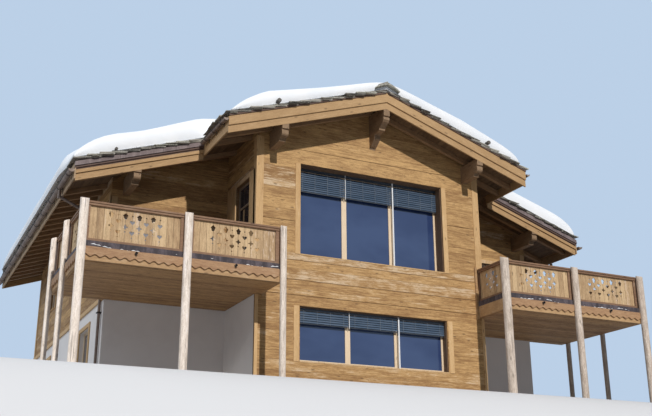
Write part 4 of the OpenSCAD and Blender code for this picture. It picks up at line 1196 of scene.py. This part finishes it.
wave_sets, clear = [], 0.107
for side in (-1, 1):
    for a, b in zip(post_x[:-1], post_x[1:]):
        start = (side * (a + clear), balcony_y, 0)
        wave_sets.append(wave_board(start, (side, 0, 0), (0, -1, 0), b - a - 2 * clear))
    for a, b in ((balcony_y, post_y[0] - clear), (post_y[0] + clear, post_y[1] - clear)):
        wave_sets.append(wave_board((side * balcony_x, a, 0), (0, 1, 0), (side, 0, 0), b - a))
piece("scalloped_boards", stack(wave_sets), wave_wood, ["wave_boards"])

# %% [markdown]
# The outside blinds are raised most of the way. Each is a stack of curved slats on ladder cords, with a
# dark bottom rail and a head box that is near black as painted shade under the lintel. One slat is an arc
# of circle given a thickness, and every other one is the same arc moved down. They are turned nearly shut,
# so thin dark lines show between them.

# %% Blinds
slat_w, slat_pitch, tilt, light_w = 0.078, 0.062, math.radians(62), 1.56
arc = np.linspace(-1, 1, 5)


def slat_row(x0, x1, blind_y, z):
    """One slat between x0 and x1: a shallow arc, tilted, 2 mm thick."""
    chord, swell = arc * slat_w / 2, 0.008 * (1 - arc ** 2)
    ring = np.concatenate([np.stack([chord, swell + 0.001], 1), np.stack([chord, swell - 0.001], 1)[::-1]])
    y = blind_y + ring[:, 0] * math.cos(tilt) - ring[:, 1] * math.sin(tilt)
    h = z + ring[:, 0] * math.sin(tilt) + ring[:, 1] * math.cos(tilt)
    return np.concatenate([np.stack([np.full(10, x), y, h], 1) for x in (x0, x1)]), prism_faces(10)


slat_sets, cords, rails_and_painted_shade_boxes, guides = [], [], [], []
for low, high, blind_y in ((5.63, picture_z[1], -5.11), (1.79, band_z[1], -5.25)):
    for i in range(3):
        x0, x1 = -front_x + i * light_w + 0.014, -front_x + (i + 1) * light_w - 0.014
        for z in np.arange(low + 0.07, high - 0.12, slat_pitch):
            slat_sets.append(slat_row(x0, x1, blind_y, z + luck.uniform(-0.002, 0.002)))
        # The head box is near black: painted shade under the lintel.
        rails_and_painted_shade_boxes += [((x0, blind_y - 0.016, low), (x1, blind_y + 0.016, low + 0.022)),
                       ((x0, blind_y - 0.025, high - 0.085), (x1, blind_y + 0.035, high))]
        for x in np.linspace(x0 + 0.16, x1 - 0.16, 4):
            cords.append(((x - 0.004, blind_y - 0.031, low + 0.01),
                          (x + 0.004, blind_y - 0.028, high - 0.08)))
for x, half, y, z0, z1 in ((0.80, 0.018, -5.145, 3.70, 6.36), (0.80, 0.018, -5.285, 0.75, 2.24),
                           (-0.78, 0.007, -5.145, 5.60, 6.36), (-0.78, 0.007, -5.285, 1.77, 2.24)):
    guides.append(((x - half, y, z0), (x + half, y + 0.025, z1)))
piece("blind_slats", stack(slat_sets), slats, ["front_blinds"], smooth=35)
piece("blind_rails_and_painted_shade_boxes", boxes(rails_and_painted_shade_boxes, 0.003), dark_rails_and_painted_shade)
piece("blind_cords", boxes(cords, 0.001), cord)
piece("blind_guides", boxes(guides, 0.002), guides_white_as_painted_glint)
print("slats", len(slat_sets))

# %% [markdown]
# Boards close the roof from below and the balconies too. They are the same chamfered slabs as the siding,
# laid on the underside of the slope from front to rear, only where the roof stands out over a wall.

# %% Boards under the roof and the balconies
under_w = 0.142


def soffit_boards(x0, x1, y0, y1, side, width=0.145):
    """Boards along y under the slope between x0 and x1, in pieces of 2.5 to 4.5 m."""
    u = np.linspace(x0 / lean, x1 / lean, max(2, round((x1 - x0) / lean / width) + 1))
    rows = []
    for a, b in zip(u[:-1], u[1:]):
        cuts = [y0]
        while y1 - cuts[-1] > 4.6:
            cuts.append(cuts[-1] + luck.uniform(2.5, 4.4))
        rows += [(a + 0.002, b - 0.002, c + 0.001, d - 0.001) for c, d in zip(cuts, cuts[1:] + [y1])]
    r = np.array(rows)
    corners = on_slope(r[:, [0, 0, 1, 1]], r[:, [2, 3, 3, 2]], np.full((len(r), 4), -deck_t), side)
    out = -np.array([side * math.sin(pitch), 0, math.cos(pitch)]) * 0.013
    return slabs(corners, out, 0.004)


overhangs = ((0.0, 4.80, -6.27, -5.42), (3.67, 4.80, -5.42, -4.25), (3.67, 8.35, -4.25, -3.27),
             (7.12, 8.35, -3.27, 7.72), (0.0, 8.35, 7.72, 8.66))
shape = stack([soffit_boards(*part, side) for side in (-1, 1) for part in overhangs])
piece("roof_underside_boards", shape, soffit_wood, boards=per_board(shape, 0.3, (0.1, 0.9)))

under_boards = []
for side in (-1, 1):
    for y in np.arange(-6.715, wing_y - under_w + 0.002, under_w):
        inner = 3.545 if y < bay_y - 0.14 else 3.67
        under_boards.append(((side * inner, y + 0.002, 2.428), (side * 8.438, y + 0.140, 2.441)))
shape = boxes(under_boards, 0.003, down=True)
piece("balcony_underside_boards", shape, under_wood, boards=per_board(shape, 0.4))

# %% [markdown]
# Metal at the eaves: flat straps carry the gutters, every 1.2 m at the eaves and every 0.6 m at the step
# of the roof. The front lip is rolled, and the pipes are held by collars. A strap is a half ring swept
# along y, so one function gives its section's points and the rest is repetition.

# %% Gutter straps, beads and clamps
eave_gutter = (8.49, 5.53, 0.08, -4.42, 8.82, 8.40)
step_gutter = (4.94, ridge_z - fall * step_x - 0.09, 0.065, -6.375, -4.465, 4.86)


def swept(section, y0, y1, side):
    """A closed section of (x, z) points, swept from y0 to y1 on one side of the house."""
    x, z = np.asarray(section, float).T
    rings = [np.stack([side * x, np.full(len(x), y), z], 1) for y in (y0, y1)]
    return np.concatenate(rings), prism_faces(len(x))


def arc_at(x, z, r, angles):
    """Points on a circle of radius r round x, z, at the given angles."""
    return np.stack([x + r * np.cos(angles), z + r * np.sin(angles)], 1)


metal_sets = []
half_turn, full_turn = np.linspace(math.pi, math.tau, 13), np.linspace(0, math.tau, 9)[:-1]
for side in (-1, 1):
    for (x, z, r, y0, y1, board), drop, apart in ((eave_gutter, 0.17, 1.22), (step_gutter, 0.12, 0.62)):
        metal_sets.append(swept(arc_at(x + r + 0.002, z + 0.004, 0.010, full_turn), y0, y1, side))
        strap = np.concatenate([arc_at(x, z, r + 0.006, half_turn), arc_at(x, z, r, half_turn)[::-1]])
        arm = [(board, z + 0.02), (board, z - drop), (board + 0.006, z - drop), (board + 0.006, z + 0.014),
               (x + r, z + 0.014), (x + r, z + 0.02)]
        for y in np.arange(y0 + 0.35, y1 - 0.1, apart):
            metal_sets += [swept(strap, y - 0.024, y + 0.024, side), swept(arm, y - 0.016, y + 0.016, side)]
    for z in (0.5, 2.1, 3.6):
        clamp = ((side * (body_x + 0.002), -2.92, z), (side * (body_x + 0.125), -2.78, z + 0.03))
        metal_sets.append(boxes([clamp], 0.004))
piece("gutter_straps", stack(metal_sets), strap_metal, smooth=35)

# %% [markdown]
# Small parts along the balconies' edge: two spouts that drain each deck, and frost that clings to the
# lower part of the dark kerb in broken, lumpy strips. A strip's depth and height are noise along
# its length, cut off at zero, so it ends by itself where the noise falls.

# %% Spouts and frost
spout_sets, frost_sets = [], []
spout_turn = np.linspace(0, math.tau, 13)[:-1]
for side in (-1, 1):
    for x in (4.74, 7.25):
        rings = [(0.034, 0.0), (0.034, -0.11), (0.026, -0.11), (0.026, -0.02)]
        points = np.concatenate([np.stack([side * x + r * np.cos(spout_turn), np.full(12, balcony_y + y),
                                           2.712 + r * np.sin(spout_turn)], 1) for r, y in rings])
        spout_sets.append((points, grid_faces(4, 12, wrap=True).tolist() + [list(range(36, 48))]))
piece("deck_spouts", stack(spout_sets), iron, smooth=40)


def frost_strip(start, along, out, length, seed):
    """A lumpy strip on the kerb: seven points across, a station every 12 mm; both sizes follow noise."""
    s = np.arange(0, length, 0.012)
    pick = np.random.default_rng(seed)
    waves = ((2.1, 0.5), (7.3, 0.45), (19.0, 0.4), (47.0, 0.35))
    wave = sum(np.sin(s * k + pick.uniform(0, 6.3)) * a for k, a in waves)
    size = np.clip((wave - 0.25) / 1.1, 0, 1) ** 0.7
    across = np.linspace(0, math.pi, 7)
    low = 2.782 + 0.05 * np.clip(np.sin(s * 3.1 + seed), 0, 1)
    points = (np.asarray(start, float) + s[:, None, None] * np.asarray(along, float)
              + (0.016 * size[:, None] * np.sin(across))[..., None] * np.asarray(out, float)
              + (low[:, None] + 0.030 * size[:, None] * (1 - np.cos(across)) / 2)[..., None] * upright_z)
    cells = grid_faces(len(s), 7, wrap=True)
    full = size[cells // 7].max(1) > 0.02
    return points.reshape(-1, 3), cells[full].tolist()


for side in (-1, 1):
    for n, (a, b) in enumerate(((3.58, 5.87), (6.11, 8.42))):
        start = (side * a, balcony_y - 0.001, 0)
        frost_sets.append(frost_strip(start, (side, 0, 0), (0, -1, 0), b - a, 5 * n + side + 3))
    for n, (a, b) in enumerate(((-6.72, -5.08), (-4.83, -3.39))):
        start = (side * (balcony_x + 0.001), a, 0)
        frost_sets.append(frost_strip(start, (0, 1, 0), (side, 0, 0), b - a, 7 * n + side + 9))
piece("kerb_frost", stack(frost_sets), snow, smooth=60)

# %% [markdown]
# Casings, sills, belt boards and corner boards are plain planed boards. They are listed as boxes between
# two corners, and one call turns each list into eased slabs. The front windows come first: brown boards
# line their deep recesses, dark partly as painted shade of the recess, and a thin sill closes each below.

# %% Linings of the front windows
casings, linings = [], []
for (z0, z1), sash_y in ((picture_z, -5.03), (band_z, -5.17)):
    for side in (-1, 1):
        linings.append(((side * front_x, -5.37, z0), (side * 2.322, sash_y, z1)))
    linings += [((-2.322, -5.37, z1 - 0.018), (2.322, sash_y, z1)),
                ((-2.322, -5.38, z0 - 0.012), (2.322, sash_y, z0 + 0.012))]
    casings.append(((-front_x, bay_y - 0.022, z0 - 0.030), (front_x, -5.38, z0 + 0.004)))
print("lining boards", len(linings))

# %% [markdown]
# The other walls follow: the glazed doors' casings, the corner boards, the belt between the storeys, and
# the casings of the side and rear windows. What is mirrored gets its boards from a loop over both sides,
# and then both lists become pieces.

# %% Casings, corner boards and belts
casing_w, casing_t = 0.12, 0.032
for side in (-1, 1):
    face, wall = side * bay_x, side * body_x
    casings += [((face, y0, 2.84), (face + side * 0.030, y1, 6.05))
                for y0, y1 in ((-5.33, bay_door[0]), (bay_door[1], -3.12))]
    casings.append(((face, bay_door[0], bay_door[3]), (face + side * 0.030, bay_door[1], 6.05)))
    for x0, x1 in ((wing_door[0] - casing_w, wing_door[0]), (wing_door[1], wing_door[1] + casing_w)):
        casings.append(((side * x0, wing_y, 2.84), (side * x1, wing_y - casing_t, 5.05)))
    casings += [((side * wing_door[0], wing_y, wing_door[3]), (side * wing_door[1], wing_y - casing_t, 5.05)),
                ((side * 6.93, wing_y, 2.5), (wall + side * 0.03, wing_y - 0.034, 5.40)),
                ((wall, wing_y - 0.034, 2.5), (wall + side * 0.034, wing_y + 0.16, 5.52)),
                ((wall, wing_y + 0.16, 2.45), (wall + side * 0.045, rear_y + 0.03, 2.57)),
                ((wall, rear_y - 0.16, 2.57), (wall + side * 0.034, rear_y + 0.034, 5.52)),
                ((side * 6.93, rear_y, 2.57), (wall + side * 0.03, rear_y + 0.034, 5.52))]
    for y in side_windows_y:
        low, high = y - window_half, y + window_half
        for z0, z1 in (upper_z, lower_z):
            for y0, y1 in ((low - casing_w, low), (high, high + casing_w)):
                casings.append(((wall, y0, z0 - 0.02), (wall + side * casing_t, y1, z1 + casing_w)))
            casings += [((wall, low, z1), (wall + side * casing_t, high, z1 + casing_w)),
                        ((wall - side * 0.10, low, z0 - 0.02), (wall + side * 0.06, high, z0 + 0.015))]
casings.append(((-body_x, rear_y, 2.45), (body_x, rear_y + 0.045, 2.57)))
for x, (z0, z1) in [(x, upper_z) for x in rear_windows_x] + [(x, lower_z) for x in rear_windows_x[::2]]:
    low, high = x - window_half, x + window_half
    for x0, x1 in ((low - casing_w, low), (high, high + casing_w)):
        casings.append(((x0, rear_y, z0 - 0.02), (x1, rear_y + casing_t, z1 + casing_w)))
    casings += [((low, rear_y, z1), (high, rear_y + casing_t, z1 + casing_w)),
                ((low, rear_y - 0.10, z0 - 0.02), (high, rear_y + 0.06, z0 + 0.015))]
casings += [((x0, rear_y, 0.0), (x1, rear_y + casing_t, 2.42)) for x0, x1 in ((-0.68, -0.55), (0.55, 0.68))]
casings.append(((-0.55, rear_y, 2.30), (0.55, rear_y + casing_t, 2.42)))
shape = boxes(casings, 0.004)
piece("casings_and_belts", shape, trim_boards, boards=per_board(shape, 0.35, (0.3, 0.8)))
piece("window_linings", boxes(linings, 0.002), lining_wood_painted_shade)

# %% [markdown]
# The rear door isn't seen in front. It gets what such a door has: an upright board leaf with a frame
# of rails and stiles, a lever handle and a threshold.

# %% Rear door
leaf = [((x0, 7.59, 0.15), (x1, 7.615, 2.30)) for x0, x1 in ((-0.55, -0.43), (0.43, 0.55))]
leaf += [((-0.43, 7.59, z), (0.43, 7.615, z + h)) for z, h in ((0.15, 0.2), (1.10, 0.14), (2.16, 0.14))]
leaf += [((x + 0.002, 7.588, 0.35), (x + 0.1055, 7.600, 2.16)) for x in np.arange(-0.43, 0.42, 0.1075)]
shape = boxes(leaf, 0.003)
piece("rear_door_boards", shape, door_wood, boards=per_board(shape, 0.2))
handle = [((0.455, 7.613, 1.02), (0.505, 7.621, 1.24)), ((0.470, 7.620, 1.155), (0.490, 7.665, 1.175)),
          ((0.350, 7.645, 1.152), (0.492, 7.665, 1.178)), ((-0.55, 7.60, 0.135), (0.55, 7.72, 0.155))]
piece("rear_door_handle", boxes(handle, 0.003), iron)

# %% [markdown]
# The boards, beams and rails of the CAD part already have their true shapes, but with knife-sharp edges.
# A planed edge is always eased a little and catches the light. A copy of each such mesh is
# merged, its flat faces are joined, and a bevel of a few millimetres follows every sharp edge.

# %% Eased copies


def eased(node_name, finish, slot_name, width):
    """A bevelled copy of a CAD node that replaces it."""
    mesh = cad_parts[node_name].data.copy()
    mesh.name = node_name + "_eased"
    work = bmesh.new()
    work.from_mesh(mesh)
    bmesh.ops.remove_doubles(work, verts=work.verts, dist=2e-5)
    bmesh.ops.dissolve_limit(work, angle_limit=0.02, verts=work.verts, edges=work.edges)
    bmesh.ops.recalc_face_normals(work, faces=work.faces)
    work.to_mesh(mesh)
    work.free()
    mesh.materials.clear()
    mesh.materials.append(finish)
    bevel = shown(mesh.name, mesh, [node_name]).modifiers.new("eased", "BEVEL")
    bevel.width, bevel.segments, bevel.limit_method, bevel.angle_limit = width, 2, "ANGLE", math.radians(35)


copies = {
    "front_verge_boards": (verge_wood, "pale_boards", 0.005),
    "wing_verge_boards": (verge_wood, "pale_boards", 0.005),
    "rear_verge_boards": (verge_wood, "pale_boards", 0.005), "eave_boards": (eave_wood, "pale_boards", 0.005),
    "purlins": (beam_wood, "beams", 0.006), "facade_trim": (trim_wood, "pale_boards", 0.004),
    "front_window_frames": (frame_wood, "pale_boards", 0.004),
    "window_frames": (frame_wood, "pale_boards", 0.003),
    "balcony_door_frames": (sash_wood_painted_shade, "pale_boards", 0.003),
    "balcony_rails": (rail_wood, "rail_wood", 0.006),
    "balcony_beams": (edge_wood, "beams", 0.005), "snow_guard_logs": (grey_log, "beams", 0.006)}
for node_name, choice in copies.items():
    eased(node_name, *choice)
print("eased copies made", len(copies))

# %% [markdown]
# The nodes that no piece replaces show as they are: masonry, floors, panes, pipes and the underside of the
# roof. They get their finish here, and so do the hidden ones. Timber walls are dark behind their boards.

# %% Finishes of the house itself
coats = {
    concrete: "ground_floor", floor_wood: "upper_floor",
    plaster: "lower_wall_left lower_wall_right lower_wall_rear lower_front_walls",
    verge_wood: "front_verge_boards wing_verge_boards rear_verge_boards", eave_wood: "eave_boards",
    copper: "verge_flashings gutters downpipes", beam_wood: "purlins snow_guard_logs rear_door",
    rafter_wood: "rafters_left rafters_right roof_left roof_right",
    pane: "front_glass", slats: "front_blinds",
    frame_wood: "front_window_frames balcony_door_frames window_frames", trim_wood: "facade_trim",
    door_pane: "balcony_door_glass", grey_pane: "window_glass", under_wood: "balcony_floors",
    dark_sheet: "balcony_decks", edge_wood: "balcony_beams wave_boards", log_wood: "balcony_posts",
    rail_wood: "balcony_rails", plank_wood: "balcony_panels"}
coat_of = {name: finish for finish, names in coats.items() for name in names.split()}
for name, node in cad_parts.items():
    node.data.materials.clear()
    node.data.materials.append(coat_of.get(name, wall_wood))
print("nodes with a finish of their own", len(coat_of))
